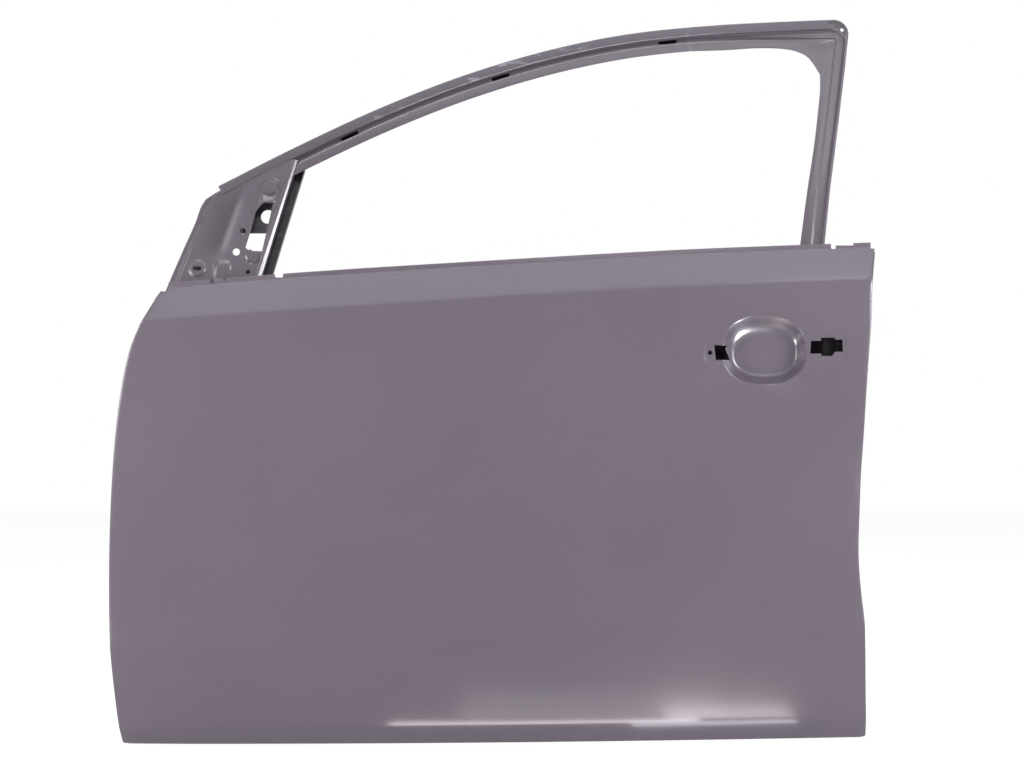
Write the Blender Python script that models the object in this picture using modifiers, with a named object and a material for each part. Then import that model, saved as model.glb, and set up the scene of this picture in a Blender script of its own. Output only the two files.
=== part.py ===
"""Front left door shell of a small hatchback: pressed, hemmed and welded steel, dipped in primer.

In the door's own grid x runs to the car's rear from the middle of the skin, z runs up from the
skin's lowest point, and y runs into the car. The "depth" of a place is its y less the bow that the
whole door has in plan. A parent empty moves the grid so that the upper hinge pad is the origin.
"""

import math

import bmesh
import bpy
import numpy as np
from mathutils import Vector

# Whole door
SKIN_LENGTH = 1.086  # front edge to rear edge of the outer skin
BELT_HEIGHT = 0.703  # lowest point of the skin to the belt bend at the rear
FRAME_RISE = 0.345  # belt bend at the rear to the top of the window frame
INNER_DEPTH = 0.118  # skin's outermost line to the cabin face of the inner panel
PLAN_BOW = 0.014  # how far both ends of the door lie inwards of its middle
FRONT_ROLL = 0.006  # extra roll inwards of the front edge
FRONT_ROLL_SHARE = 0.35  # where that roll starts, as a share of the length

# Sheets and the gaps between them
SKIN_SHEET = 0.0008
INNER_SHEET = 0.0008
FRAME_SHEET = 0.0010
BRACKET_SHEET = 0.0015
HINGE_SHEET = 0.0025
LAP_GAP = 0.0005  # between two sheets that are welded or hemmed together
WALL_CLEARANCE = 0.0012  # between a reinforcement's bend and the wall beside it
CUT_OVERRUN = 0.02  # how far a cutter passes a sheet

# Outer skin: heights of its lines, as (share of length from the middle, share of belt height)
BOTTOM_SHARES = ((-0.5, 0.0), (0.0, 0.006), (0.5, 0.0145))
BEND_SHARES = ((-0.5, 0.034), (0.0, 0.046), (0.5, 0.0575))
CREASE_SHARES = ((-0.5, 0.198), (0.0, 0.224), (0.5, 0.247))
SHOULDER_SHARES = ((-0.5, 0.848), (-0.25, 0.8735), (0.0, 0.899), (0.25, 0.9205), (0.38, 0.931), (0.5, 0.937))
BELT_SHARES = ((-0.5, 0.909), (-0.25, 0.9385), (0.0, 0.9625), (0.25, 0.9845), (0.5, 1.0))

# Outer skin: insets of its edges, as (share of belt height, share of length)
FRONT_INSET_SHARES = (
    (0.0, 0.0157), (0.05, 0.011), (0.1, 0.0074), (0.2, 0.0022), (0.33, 0.0), (0.45, 0.0018),
    (0.55, 0.0055), (0.63, 0.0100), (0.70, 0.0158), (0.75, 0.0213), (0.80, 0.0290), (0.852, 0.0425),
)
FRONT_CUT_SHARES = ((0.852, 0.0425), (0.95, 0.0768))  # straight cut above the shoulder
REAR_INSET_SHARES = (
    (0.0, 0.0125), (0.1, 0.0147), (0.2, 0.0163), (0.256, 0.0178), (0.3, 0.0208), (0.34, 0.0232),
    (0.387, 0.0246), (0.46, 0.0236), (0.55, 0.0214), (0.652, 0.0180), (0.75, 0.0142), (0.85, 0.0094),
    (0.937, 0.0064), (1.0, 0.0),
)

# Outer skin: depths of its section
BOTTOM_DEPTH = 0.030
BEND_DEPTH = 0.017
CREASE_DEPTH = 0.003
SHOULDER_DEPTH = 0.006
BELT_DEPTH = 0.028
SCOOP_DEPTH = 0.0088  # deepest place of the hollow above the lower crease
SCOOP_SHARES = ((0.0, 0.34), (0.08, 0.72), (0.22, 1.0), (0.40, 0.66), (0.60, 0.18), (0.78, 0.0),
                (0.90, 0.18), (1.0, 0.68))  # (height in the band, depth over SCOOP_DEPTH)
FLANGE_HEIGHT = 0.010  # upright flange above the belt bend
FLANGE_JOGGLE = 0.003  # how far that flange is set in
HEM_RETURN = 0.009

# Rows and columns of the skin, as shares of each band and of each half of the length
TUCK_ROW_SHARES = (0.0, 1.0)
SILL_ROW_SHARES = (0.33, 0.67, 1.0)
BODY_ROW_SHARES = (0.075, 0.175, 0.29, 0.44, 0.585, 0.73, 0.875)  # from the crease to the recess
RECESS_ROW_SHARES = (0.0, 0.33, 0.67, 1.0)  # beside the recess
BAND_ROW_SHARES = (0.5, 1.0)
FRONT_COLUMN_SHARES = (-1.0, -0.96, -0.88, -0.75, -0.57, -0.38, -0.19)
MIDDLE_COLUMN_SHARES = (0.0, 0.33, 0.66, 0.85)  # from the middle to the recess
RECESS_COLUMN_SHARES = (0.0, 0.25, 0.5, 0.75, 1.0)
REAR_COLUMN_SHARES = (0.5, 1.0)
RECESS_RING_SHARES = (1.0, 0.95, 0.88, 0.80, 0.72, 0.65, 0.60)
RECESS_SIDES = 28
BELT_NOTCH_SHARES = (-0.277, 0.441)
BELT_NOTCH_LENGTH = 0.012

# Handle recess in the skin and the openings beside it
RECESS_PLACE_SHARES = (0.35175, 0.79587)  # of the skin's length from the middle, of the belt height
RECESS_BORDER = 0.0115  # flat skin kept between the recess and the skin's own grid
RECESS_LENGTH = 0.117
RECESS_HEIGHT = 0.097
RECESS_DEPTH = 0.021
RECESS_FLOOR_SHARE = 0.60
RECESS_SQUARENESS = 2.5
KEY_HOLE_AFT = 0.087  # rearwards of the recess's middle
KEY_HOLE_RISE = 0.0043
KEY_HOLE_LENGTH = 0.046
KEY_HOLE_HEIGHT = 0.018
KEY_BODY_LENGTH = 0.019
KEY_BODY_HEIGHT = 0.026
LEVER_HOLE_FORWARD = 0.0615
LEVER_HOLE_DROP = 0.0039
LEVER_HOLE_LENGTH = 0.020
LEVER_HOLE_HEIGHT = 0.021
GUIDE_HOLE_FORWARD = 0.077
GUIDE_HOLE_RADIUS = 0.0032

# Inner panel
FLANGE_WIDTH = 0.014  # least width of the hem flange
FRONT_WALL_INSET = 0.035  # straight hinge wall, from the foremost point of the skin
REAR_WALL_INSET = 0.043  # straight latch wall, from the rearmost point of the skin
FRONT_SHELF_DEPTH = 0.072
REAR_SHELF_DEPTH = 0.088
SILL_SHELF_DEPTH = 0.064
SHELF_WIDTH = 0.026
STEP_WIDTH = 0.012
FLANGE_CORNER = 0.006
SHELF_CORNER = 0.034
FACE_CORNER = 0.046
CORNER_STEPS = 4
CORNER_BLEND = (0.25, 0.5, 0.75, 1.0)
SILL_SPANS = 14
FACE_ROW_SHARES = (0.14, 0.3, 0.46, 0.62, 0.78, 0.9, 1.0)  # below the rail
RAIL_HEIGHT = 0.052
RAIL_SLOPE = 0.016
RAIL_BELOW_BELT = 0.006
PAD_RISE = 0.002
HINGE_PAD_HEIGHT = 0.064
PAD_DEPTH_LOW = 0.028
PAD_DEPTH_HIGH = 0.062
UPPER_HINGE_SHARE = 0.63016  # heights as shares of the belt height
LOWER_HINGE_SHARE = 0.26316
CHECK_PAD_SHARE = 0.4623
CHECK_PAD_HEIGHT = 0.044
LATCH_SHARE = 0.64723
LATCH_PAD_HEIGHT = 0.096
LATCH_PAD_DEPTH_LOW = 0.032
LATCH_PAD_DEPTH_HIGH = 0.080
PAD_EDGE = 0.002
HINGE_BOLT_RADIUS = 0.0055
HINGE_BOLT_SPACING = 0.036
CHECK_BOLT_RADIUS = 0.0035
CHECK_BOLT_SPACING = 0.028
CHECK_SLOT_HEIGHT = 0.014
CHECK_SLOT_WIDTH = 0.020
LATCH_MOUTH_HEIGHT = 0.034
LATCH_MOUTH_WIDTH = 0.022
LATCH_SCREW_RADIUS = 0.0035
LATCH_SCREW_SPACING = 0.074
WIRING_HOLE_SHARE = 0.55477
WIRING_HOLE_RADIUS = 0.014

# Openings in the inner panel's cabin face, as shares (x, z, length, height) of the skin's length and
# of the belt height
MODULE_SHARES = (0.0921, 0.5477, 0.4788, 0.4694)
MODULE_CORNER = 0.060
REGULATOR_SHARES = (-0.2901, 0.6330, 0.1750, 0.2987)
REGULATOR_CORNER = 0.050
SPEAKER_PLACE_SHARES = (-0.30387, 0.30583)
SPEAKER_RADIUS = 0.082
CLIP_HOLE_RADIUS = 0.004
CLIP_SHARES = ((-0.40, 0.16), (-0.40, 0.42), (-0.40, 0.66), (-0.19, 0.13), (-0.17, 0.42), (-0.17, 0.70),
               (0.05, 0.20), (0.22, 0.20), (0.38, 0.16), (0.39, 0.40), (0.39, 0.62))
DRAIN_SHARES = (-0.30, 0.0, 0.30)
DRAIN_LENGTH = 0.024
DRAIN_HEIGHT = 0.008

# Window frame: its outline, as (share of length, share of frame rise above the rear belt)
HEADER_SHARES = ((-0.374, 0.254), (-0.257, 0.446), (-0.151, 0.606), (-0.045, 0.742), (0.0626, 0.850),
                 (0.17, 0.926), (0.279, 0.967), (0.388, 0.989), (0.4605, 1.0))
REAR_FRAME_SHARES = ((-0.50, 0.4135), (-0.20, 0.4260), (0.029, 0.4355), (0.243, 0.4444), (0.449, 0.4550),
                     (0.658, 0.4660), (0.817, 0.4742), (0.936, 0.4800))  # (rise, length)
GUSSET_SHARES = ((0.262, 0.8475), (0.310, 0.8610), (0.3595, 0.8710), (0.3865, 0.8690), (0.400, 0.8640),
                 (0.4130, 0.8510), (0.4225, 0.8330), (0.4310, 0.7970), (0.4385, 0.7530))
GLASS_EDGE_SHARES = ((-0.50, 0.3800), (-0.20, 0.3925), (0.029, 0.4035), (0.243, 0.4145), (0.475, 0.4278),
                     (0.606, 0.4340), (0.687, 0.4375), (0.753, 0.4385))  # (rise, length)
FRAME_DEPTH = 0.043  # outer face of the frame at the belt
FRAME_BEND_RADIUS = 1.924  # curve of the side glass
BELT_TILT = math.radians(12)
RUN_OUT = 0.08  # below the belt the glass path turns upright over this height
SEAM_SHARE = 0.262  # where the header meets the rear corner pressing
SEAM_GAP = 0.0006
CORNER_DROP = 0.0045

# Section of the header: widths from the top edge and depths behind the frame's outer face
HEADER_WIDTH = 0.0365
FRAME_BOX = 0.036
TOP_RETURN = 0.014
LAND_WIDTH = 0.0125
STEP_RUN = 0.002
GROOVE_DEPTH = 0.008
GROOVE_WIDTH = 0.0095
LIP_DEPTH = 0.0045
PILLAR_LAND = 0.005
PILLAR_GROOVE = 0.015
PILLAR_GROOVE_DEPTH = 0.005
SLOT_SHARES = (-0.199, 0.004, 0.233)
SLOT_LENGTH = 0.027
SLOT_WIDTH = 0.0055
CORNER_HOLE_RADIUS = 0.0022

# Mirror corner
MIRROR_FRONT_SHARES = ((-0.178, -0.4310), (-0.157, -0.4285), (-0.006, -0.4095), (0.128, -0.3923),
                       (0.186, -0.3863), (0.215, -0.3810))  # (rise, length)
MIRROR_FLANGE = 0.010
MIRROR_FLANGE_DEPTH = 0.0055
MIRROR_CUT_SHARES = ((-0.2905, 0.196), (-0.3053, 0.195), (-0.3130, 0.162), (-0.3189, 0.0835),
                     (-0.3255, 0.0096), (-0.3217, 0.0), (-0.3035, -0.006))  # (length, rise)
MIRROR_HOLE_SHARES = ((-0.32947, 0.08261), (-0.33738, -0.00725), (-0.32127, -0.09101))
MIRROR_HOLE_RADII = (0.0042, 0.0052, 0.0030)
MIRROR_SLOT_SHARES = (-0.38831, -0.07536)
MIRROR_SLOT_LENGTH = 0.0120
MIRROR_SLOT_HEIGHT = 0.0058
BOSS_PLACE_SHARES = (-0.29475, 0.26783)
BOSS_RADIUS = 0.014
BOSS_RISE = 0.002
BRACKET_DEPTH = 0.015
BRACKET_HOLE_SHARES = (-0.29834, 0.14203)
BRACKET_HOLE_RADIUS = 0.0105

# Front glass channel, from the header down into the door
BAR_TOP_SHARES = (-0.27486, 0.31884)  # (length, rise)
BAR_LEAN = 0.279
BAR_CUT_SHARES = (0.625, 0.625, 0.671, 0.507, 0.178, 0.178)  # rises of its points, of the header's width
BAR_LENGTH = 0.400
BAR_RIB = 0.0115
BAR_CHANNEL = 0.0135
BAR_CHANNEL_DEPTH = 0.014

# Glass channel of the header and of the rear edge
RUN_DROP = 0.300  # how far the rear channel reaches below the belt

BAR_GAP = 0.0006
BAR_FACE_DEPTH = 0.0008
BAR_LEG_DEPTH = 0.014
BAR_REAR_DEPTH = 0.0245
BAR_ROW_SHARES = (0.0, 0.14, 0.28, 0.42, 0.56, 0.78, 1.0)
HEADER_ROW_SHARES = (0.05, 0.10, 0.16, 0.22, 0.28, 0.35, 0.42, 0.49, 0.56, 0.64, 0.72, 0.81, 0.9, 1.0)
CORNER_TOP_SHARES = (0.31, 0.36, 0.405, 0.437, 0.4605)
CORNER_TURNS = (30, 60)
CORNER_RISE_SHARE = 0.936
PILLAR_SHARES = ((0.88, 0.70), (0.80, 0.655), (0.66, 0.57), (0.50, 0.45), (0.35, 0.32), (0.20, 0.19),
                 (0.08, 0.08), (-0.04, -0.04), (-0.12, -0.12), (-0.20, -0.20))
PILLAR_LIP_DEPTH = 0.0042
REAR_CHANNEL_SHARE = -0.2015
RUN_NEAR_DEPTH = 0.003
RUN_WIDTH = 0.014
RUN_LEG = 0.014
MIRROR_TOP_SHARE = 0.37391
MIRROR_ROW_SHARES = (0.0, 0.1, 0.2, 0.3, 0.4, 0.5, 0.6, 0.7, 0.8, 0.9, 1.0)
MIRROR_COLUMN_SHARES = (0.0, 0.08, 0.12, 0.22, 0.34, 0.46, 0.58, 0.7, 0.82, 1.0)
BRACKET_BOTTOM_SHARE = 0.07246
BRACKET_HEIGHT = 0.048
BRACKET_LENGTH = 0.045
BRACKET_TAPER_SHARE = 0.35
BRACKET_LIP = 0.010

# Belt reinforcements
BELT_BRACE_SHEET = 0.0012
BELT_BRACE_RISE = 0.008
BELT_BRACE_HEIGHT = 0.046
BELT_BRACE_DEPTH = 0.010
INNER_BRACE_DEPTH = 0.012
BRACE_SPANS = 12
OUTER_BRACE_SHARES = (-0.272, 0.388)
INNER_BRACE_SHARES = (-0.362, 0.385)

# Side impact beam and its ends
BEAM_RADIUS = 0.015
BEAM_WALL = 0.002
BEAM_HEIGHT_SHARES = (0.37269, 0.32006)  # front, rear
BEAM_SKIN_GAP = 0.005
BEAM_END_GAP = 0.018
BEAM_BRACKET_LENGTH = 0.070
BEAM_BRACKET_WING = 0.016
BEAM_SIDES = 20
BRACKET_ARC_STEPS = 8
DAMPER_SPANS = 5
MASTIC_LENGTH = 0.030
MASTIC_HEIGHT = 0.016
MASTIC_SHARES = (-0.3, -0.1, 0.1, 0.3)
DAMPER_PLACE_SHARES = (-0.05525, 0.61166)
DAMPER_LENGTH = 0.300
DAMPER_HEIGHT = 0.180
DAMPER_THICKNESS = 0.002

# Reinforcements and nuts
HINGE_BRACE_HEIGHT = 0.086
LATCH_BRACE_HEIGHT = 0.128
BRACE_LEG = 0.020
NUT_RADIUS = 0.0075
NUT_HEIGHT = 0.007
NUT_BORE = 0.0036
HANDLE_PLATE_DEPTH = 0.0265
HANDLE_PLATE_LENGTH = 0.205
HANDLE_LEG = 0.014
HANDLE_COLUMN_SHARES = (-0.5, -0.25, 0.0, 0.25, 0.5)

PRIMER = (0.212, 0.176, 0.212, 1.0)
MASTIC = (0.03, 0.03, 0.032, 1.0)
BITUMEN = (0.02, 0.02, 0.021, 1.0)

HALF = SKIN_LENGTH / 2
RECESS_X = RECESS_PLACE_SHARES[0] * SKIN_LENGTH
RECESS_Z = RECESS_PLACE_SHARES[1] * BELT_HEIGHT
KEY_HOLE_X = RECESS_X + KEY_HOLE_AFT
KEY_HOLE_Z = RECESS_Z + KEY_HOLE_RISE
LEVER_HOLE_X = RECESS_X - LEVER_HOLE_FORWARD
LEVER_HOLE_Z = RECESS_Z - LEVER_HOLE_DROP
GUIDE_HOLE_X = RECESS_X - GUIDE_HOLE_FORWARD
UPPER_HINGE_Z = UPPER_HINGE_SHARE * BELT_HEIGHT
LOWER_HINGE_Z = LOWER_HINGE_SHARE * BELT_HEIGHT
CHECK_PAD_Z = CHECK_PAD_SHARE * BELT_HEIGHT
LATCH_Z = LATCH_SHARE * BELT_HEIGHT
WIRING_HOLE_Z = WIRING_HOLE_SHARE * BELT_HEIGHT
SPEAKER_X = SPEAKER_PLACE_SHARES[0] * SKIN_LENGTH
SPEAKER_Z = SPEAKER_PLACE_SHARES[1] * BELT_HEIGHT
BOSS_X = BOSS_PLACE_SHARES[0] * SKIN_LENGTH
BOSS_Z = BELT_HEIGHT + BOSS_PLACE_SHARES[1] * FRAME_RISE
BRACKET_HOLE_X = BRACKET_HOLE_SHARES[0] * SKIN_LENGTH
BRACKET_HOLE_Z = BELT_HEIGHT + BRACKET_HOLE_SHARES[1] * FRAME_RISE
BRACKET_BOTTOM_Z = BELT_HEIGHT + BRACKET_BOTTOM_SHARE * FRAME_RISE
BAR_TOP_X = BAR_TOP_SHARES[0] * SKIN_LENGTH
BAR_TOP_Z = BELT_HEIGHT + BAR_TOP_SHARES[1] * FRAME_RISE
MIRROR_TOP_Z = BELT_HEIGHT + MIRROR_TOP_SHARE * FRAME_RISE
DAMPER_X = DAMPER_PLACE_SHARES[0] * SKIN_LENGTH
DAMPER_Z = DAMPER_PLACE_SHARES[1] * BELT_HEIGHT
MIRROR_FACE_DEPTH = FRAME_SHEET + LAP_GAP
FRONT_WALL_X = FRONT_WALL_INSET - HALF
REAR_WALL_X = HALF - REAR_WALL_INSET
HEM_RADIUS = SKIN_SHEET + LAP_GAP + INNER_SHEET / 2
INWARDS = Vector((0.0, 1.0, 0.0))


def curve_through(points):
    """A smooth function through points chosen by hand, as a cubic Hermite spline."""
    at, value = np.array(points, float).T
    slope = np.gradient(value, at)

    def height(x):
        i = np.clip(np.searchsorted(at, x) - 1, 0, len(at) - 2)
        step = at[i + 1] - at[i]
        t = (x - at[i]) / step
        rest = 1 - t
        return (
            value[i] * (1 + 2 * t) * rest**2
            + slope[i] * step * t * rest**2
            + value[i + 1] * t**2 * (3 - 2 * t)
            - slope[i + 1] * step * t**2 * rest
        )

    return height


LINE_SHARES = (BOTTOM_SHARES, BEND_SHARES, CREASE_SHARES, SHOULDER_SHARES, BELT_SHARES)
SKIN_LINES = [curve_through(shares) for shares in LINE_SHARES]
LINE_DEPTHS = (BOTTOM_DEPTH, BEND_DEPTH, CREASE_DEPTH, SHOULDER_DEPTH, BELT_DEPTH)
FRONT_INSET = curve_through(FRONT_INSET_SHARES)
FRONT_CUT = curve_through(FRONT_CUT_SHARES)
REAR_INSET = curve_through(REAR_INSET_SHARES)
SCOOP = curve_through(SCOOP_SHARES)
HEADER = curve_through(HEADER_SHARES)
REAR_FRAME = curve_through(REAR_FRAME_SHARES)
GLASS_EDGE = curve_through(GLASS_EDGE_SHARES)
MIRROR_FRONT = curve_through(MIRROR_FRONT_SHARES)


def plan(x):
    """How far the door's curve in plan brings a place inwards of the middle of the door."""
    share = x / SKIN_LENGTH
    roll = max(0.0, (-FRONT_ROLL_SHARE - share) / (0.5 - FRONT_ROLL_SHARE))
    return PLAN_BOW * (2 * share) ** 2 + FRONT_ROLL * roll**2


def line_z(line, x):
    """Height at x of one of the skin's lines: 0 bottom, 1 bend, 2 lower crease, 3 shoulder, 4 belt."""
    return SKIN_LINES[line](x / SKIN_LENGTH) * BELT_HEIGHT


def belt_z(x):
    return line_z(4, x)


def front_x(z):
    """Front edge of the skin at a height."""
    share = z / BELT_HEIGHT
    cut = share > FRONT_CUT_SHARES[0][0]
    return (FRONT_CUT(share) if cut else FRONT_INSET(share)) * SKIN_LENGTH - HALF


def rear_x(z):
    return HALF - REAR_INSET(min(z / BELT_HEIGHT, 1.0)) * SKIN_LENGTH


def skin_edge(z, side):
    """Edge of the flat skin, where the hem's fold begins."""
    return front_x(z) + HEM_RADIUS if side < 0 else rear_x(z) - HEM_RADIUS


def spread(low, high, shares):
    return [low + (high - low) * share for share in shares]


def recess_window():
    """The skin's rows and columns between which the recess's own mesh takes the grid's place."""
    crease, shoulder = line_z(2, RECESS_X), line_z(3, RECESS_X)
    up, along = RECESS_HEIGHT / 2 + RECESS_BORDER, RECESS_LENGTH / 2 + RECESS_BORDER
    rows = [(RECESS_Z + sign * up - crease) / (shoulder - crease) for sign in (-1, 1)]
    columns = [(RECESS_X + sign * along) / skin_edge(RECESS_Z, 1) for sign in (-1, 1)]
    return rows, columns


WINDOW_ROWS, WINDOW_COLUMNS = recess_window()
BODY_ROWS = spread(0.0, WINDOW_ROWS[0], BODY_ROW_SHARES) + spread(*WINDOW_ROWS, RECESS_ROW_SHARES) + [1.0]
SKIN_COLUMNS = [*FRONT_COLUMN_SHARES, *spread(0.0, WINDOW_COLUMNS[0], MIDDLE_COLUMN_SHARES)]
SKIN_COLUMNS += spread(*WINDOW_COLUMNS, RECESS_COLUMN_SHARES)
SKIN_COLUMNS += spread(WINDOW_COLUMNS[1], 1.0, REAR_COLUMN_SHARES)


def skin_rows():
    """The skin's rows from the bottom to the belt, each as (band, share of the band)."""
    bands = (TUCK_ROW_SHARES, SILL_ROW_SHARES, BODY_ROWS, BAND_ROW_SHARES)
    return [(band, share) for band, shares in enumerate(bands) for share in shares]


def row_place(row, x):
    """(z, depth) of one of the skin's rows at x, without the recess."""
    band, share = row
    low, high = line_z(band, x), line_z(band + 1, x)
    depth = LINE_DEPTHS[band] + share * (LINE_DEPTHS[band + 1] - LINE_DEPTHS[band])
    if band == 2:
        depth = SCOOP(share) * SCOOP_DEPTH
    fold = HEM_RADIUS if row == (0, 0.0) else 0.0
    return low + fold + share * (high - low), depth


def skin_depth(x, z):
    """Depth of the skin's outer face, on the same facets as the skin's rows."""
    places = [row_place(row, x) for row in skin_rows()]
    return float(np.interp(z, [p[0] for p in places], [p[1] for p in places]))


def recess_point(ring_share, angle):
    """A point of the hand recess: its rings are flattened ovals, its depth eases in and out."""
    power = 2 / RECESS_SQUARENESS
    across, upward = math.cos(angle), math.sin(angle)
    x = RECESS_X + RECESS_LENGTH / 2 * ring_share * math.copysign(abs(across) ** power, across)
    z = RECESS_Z + RECESS_HEIGHT / 2 * ring_share * math.copysign(abs(upward) ** power, upward)
    t = min(1.0, (1 - ring_share) / (1 - RECESS_FLOOR_SHARE))
    return place(x, z, skin_depth(x, z) + RECESS_DEPTH * t * t * (3 - 2 * t))


def place(x, z, depth):
    return (x, plan(x) + depth, z)


def tumble(rise):
    """How far the side glass leans inwards at a height above the belt."""
    foot = FRAME_BEND_RADIUS * math.sin(BELT_TILT)
    if rise < 0:
        drop = min(-rise, RUN_OUT)
        return math.tan(BELT_TILT) * (drop**2 / (2 * RUN_OUT) - drop)
    return math.sqrt(FRAME_BEND_RADIUS**2 - foot**2) - math.sqrt(FRAME_BEND_RADIUS**2 - (foot + rise) ** 2)


def frame_place(x, z, behind):
    """A point on the window frame, a given depth behind its outer face."""
    return place(x, z, FRAME_DEPTH + tumble(z - belt_z(x)) + behind)


def rise_z(share):
    return BELT_HEIGHT + share * FRAME_RISE


# Building blocks


def new_material(name, colour, roughness):
    material = bpy.data.materials.new(name)
    material.use_nodes = True
    shader = material.node_tree.nodes["Principled BSDF"]
    shader.inputs["Base Color"].default_value = colour
    shader.inputs["Roughness"].default_value = roughness
    shader.inputs["Metallic"].default_value = 0.0
    return material


def link(mesh, name, material, collection):
    """Puts a mesh in the scene as an object on the door's parent empty."""
    item = bpy.data.objects.new(name, mesh)
    mesh.materials.append(material)
    collection.objects.link(item)
    item.parent = DATUM
    return item


def grid_faces(verts, bm, keep=None):
    for r in range(len(verts) - 1):
        for c in range(len(verts[r]) - 1):
            if keep is None or keep(r, c):
                bm.faces.new((verts[r][c], verts[r][c + 1], verts[r + 1][c + 1], verts[r + 1][c]))


def grid_mesh(rows, keep=None):
    """A bmesh of a grid of points. Rows that go up and points that go rearwards face outwards."""
    bm = bmesh.new()
    verts = [[bm.verts.new(point) for point in row] for row in rows]
    grid_faces(verts, bm, keep)
    loose = [v for v in bm.verts if not v.link_faces]
    bmesh.ops.delete(bm, geom=loose, context="VERTS")
    return bm, verts


def finish_sheet(bm, name, thickness, material):
    """Turns an open surface into a sheet that lies inwards of it."""
    mesh = bpy.data.meshes.new(name)
    bm.to_mesh(mesh)
    bm.free()
    mesh.shade_smooth()
    mesh.set_sharp_from_angle(angle=math.radians(30))
    item = link(mesh, name, material, PARTS)
    solid = item.modifiers.new("Sheet", "SOLIDIFY")
    solid.thickness = thickness
    solid.offset = -1
    solid.use_even_offset = True
    solid.use_quality_normals = True
    return item


def sheet(name, rows, thickness, material, keep=None):
    bm, _ = grid_mesh(rows, keep)
    return finish_sheet(bm, name, thickness, material)


def prism(name, outline, centre_depth, half_depth):
    """A cutter through the door: an outline of (x, z) points, pushed through y."""
    bm = bmesh.new()
    near = [bm.verts.new((x, centre_depth - half_depth, z)) for x, z in outline]
    far = [bm.verts.new((x, centre_depth + half_depth, z)) for x, z in outline]
    bm.faces.new(near)
    bm.faces.new(far[::-1])
    count = len(outline)
    for i in range(count):
        bm.faces.new((near[i], far[i], far[(i + 1) % count], near[(i + 1) % count]))
    bmesh.ops.recalc_face_normals(bm, faces=bm.faces)
    return cutter(bm, name)


def side_prism(name, outline, centre_x, half_x):
    """A cutter across the door: an outline of (y, z) points, pushed through x."""
    bm = bmesh.new()
    near = [bm.verts.new((centre_x - half_x, y, z)) for y, z in outline]
    far = [bm.verts.new((centre_x + half_x, y, z)) for y, z in outline]
    bm.faces.new(near)
    bm.faces.new(far[::-1])
    count = len(outline)
    for i in range(count):
        bm.faces.new((near[i], far[i], far[(i + 1) % count], near[(i + 1) % count]))
    bmesh.ops.recalc_face_normals(bm, faces=bm.faces)
    return cutter(bm, name)


def cutter(bm, name):
    mesh = bpy.data.meshes.new(name)
    bm.to_mesh(mesh)
    bm.free()
    item = link(mesh, name, PRIMER_PAINT, CUTTERS)
    item.hide_render = True
    item.display_type = "WIRE"
    return item


def cut(item, *tools):
    for tool in tools:
        boolean = item.modifiers.new("Cut " + tool.name, "BOOLEAN")
        boolean.operation = "DIFFERENCE"
        boolean.solver = "EXACT"
        boolean.object = tool


def rounded_box(x, z, length, height, radius, arc=4):
    """Outline of a rectangle with round corners."""
    points = []
    for turn, (sx, sz) in enumerate(((1, 1), (-1, 1), (-1, -1), (1, -1))):
        for k in range(arc + 1):
            angle = math.radians(90 * turn + 90 * k / arc)
            points.append((
                x + sx * (length / 2 - radius) + radius * math.cos(angle),
                z + sz * (height / 2 - radius) + radius * math.sin(angle),
            ))
    return points


def disc(x, z, radius, sides=12):
    return [
        (x + radius * math.cos(2 * math.pi * k / sides), z + radius * math.sin(2 * math.pi * k / sides))
        for k in range(sides)
    ]


# Outer skin


def skin_point(row, share):
    """Where a row meets a column of the skin: share -1 is the front edge and 1 the rear edge."""
    x = share * HALF
    for _ in range(6):
        z, depth = row_place(row, x)
        x = abs(share) * skin_edge(z, share)
    return x, z, depth


def hem(bm, verts, neighbours):
    """Folds the edge that runs through verts round the inner panel's flange."""
    frames = []
    for v, beside in zip(verts, neighbours):
        out = (v.co - beside.co).normalized()
        frames.append((out, (INWARDS - INWARDS.dot(out) * out).normalized()))
    rails = [verts]
    for angle in (60, 120, 180):
        turn = math.radians(angle)
        rails.append([
            bm.verts.new(v.co + HEM_RADIUS * (math.sin(turn) * out + (1 - math.cos(turn)) * inwards))
            for v, (out, inwards) in zip(verts, frames)
        ])
    rails.append([bm.verts.new(v.co - HEM_RETURN * out) for v, (out, _) in zip(rails[-1], frames)])
    grid_faces(rails, bm)


def make_recess(bm, frame):
    """Fills the window in the skin's grid, whose corners run anticlockwise, with the recess."""
    rings = []
    start = math.atan2(frame[0].co.z - RECESS_Z, frame[0].co.x - RECESS_X)
    for ring_share in RECESS_RING_SHARES:
        angles = [start + 2 * math.pi * k / RECESS_SIDES for k in range(RECESS_SIDES)]
        ring = [bm.verts.new(recess_point(ring_share, angle)) for angle in angles]
        rings.append(ring + ring[:1])
    zip_chains(bm, frame + frame[:1], rings[0])
    for outer, inner in zip(rings, rings[1:]):
        grid_faces([outer, inner], bm)
    floor = bm.verts.new(place(RECESS_X, RECESS_Z, skin_depth(RECESS_X, RECESS_Z) + RECESS_DEPTH))
    for near, far in zip(rings[-1], rings[-1][1:]):
        bm.faces.new((near, far, floor))


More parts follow.
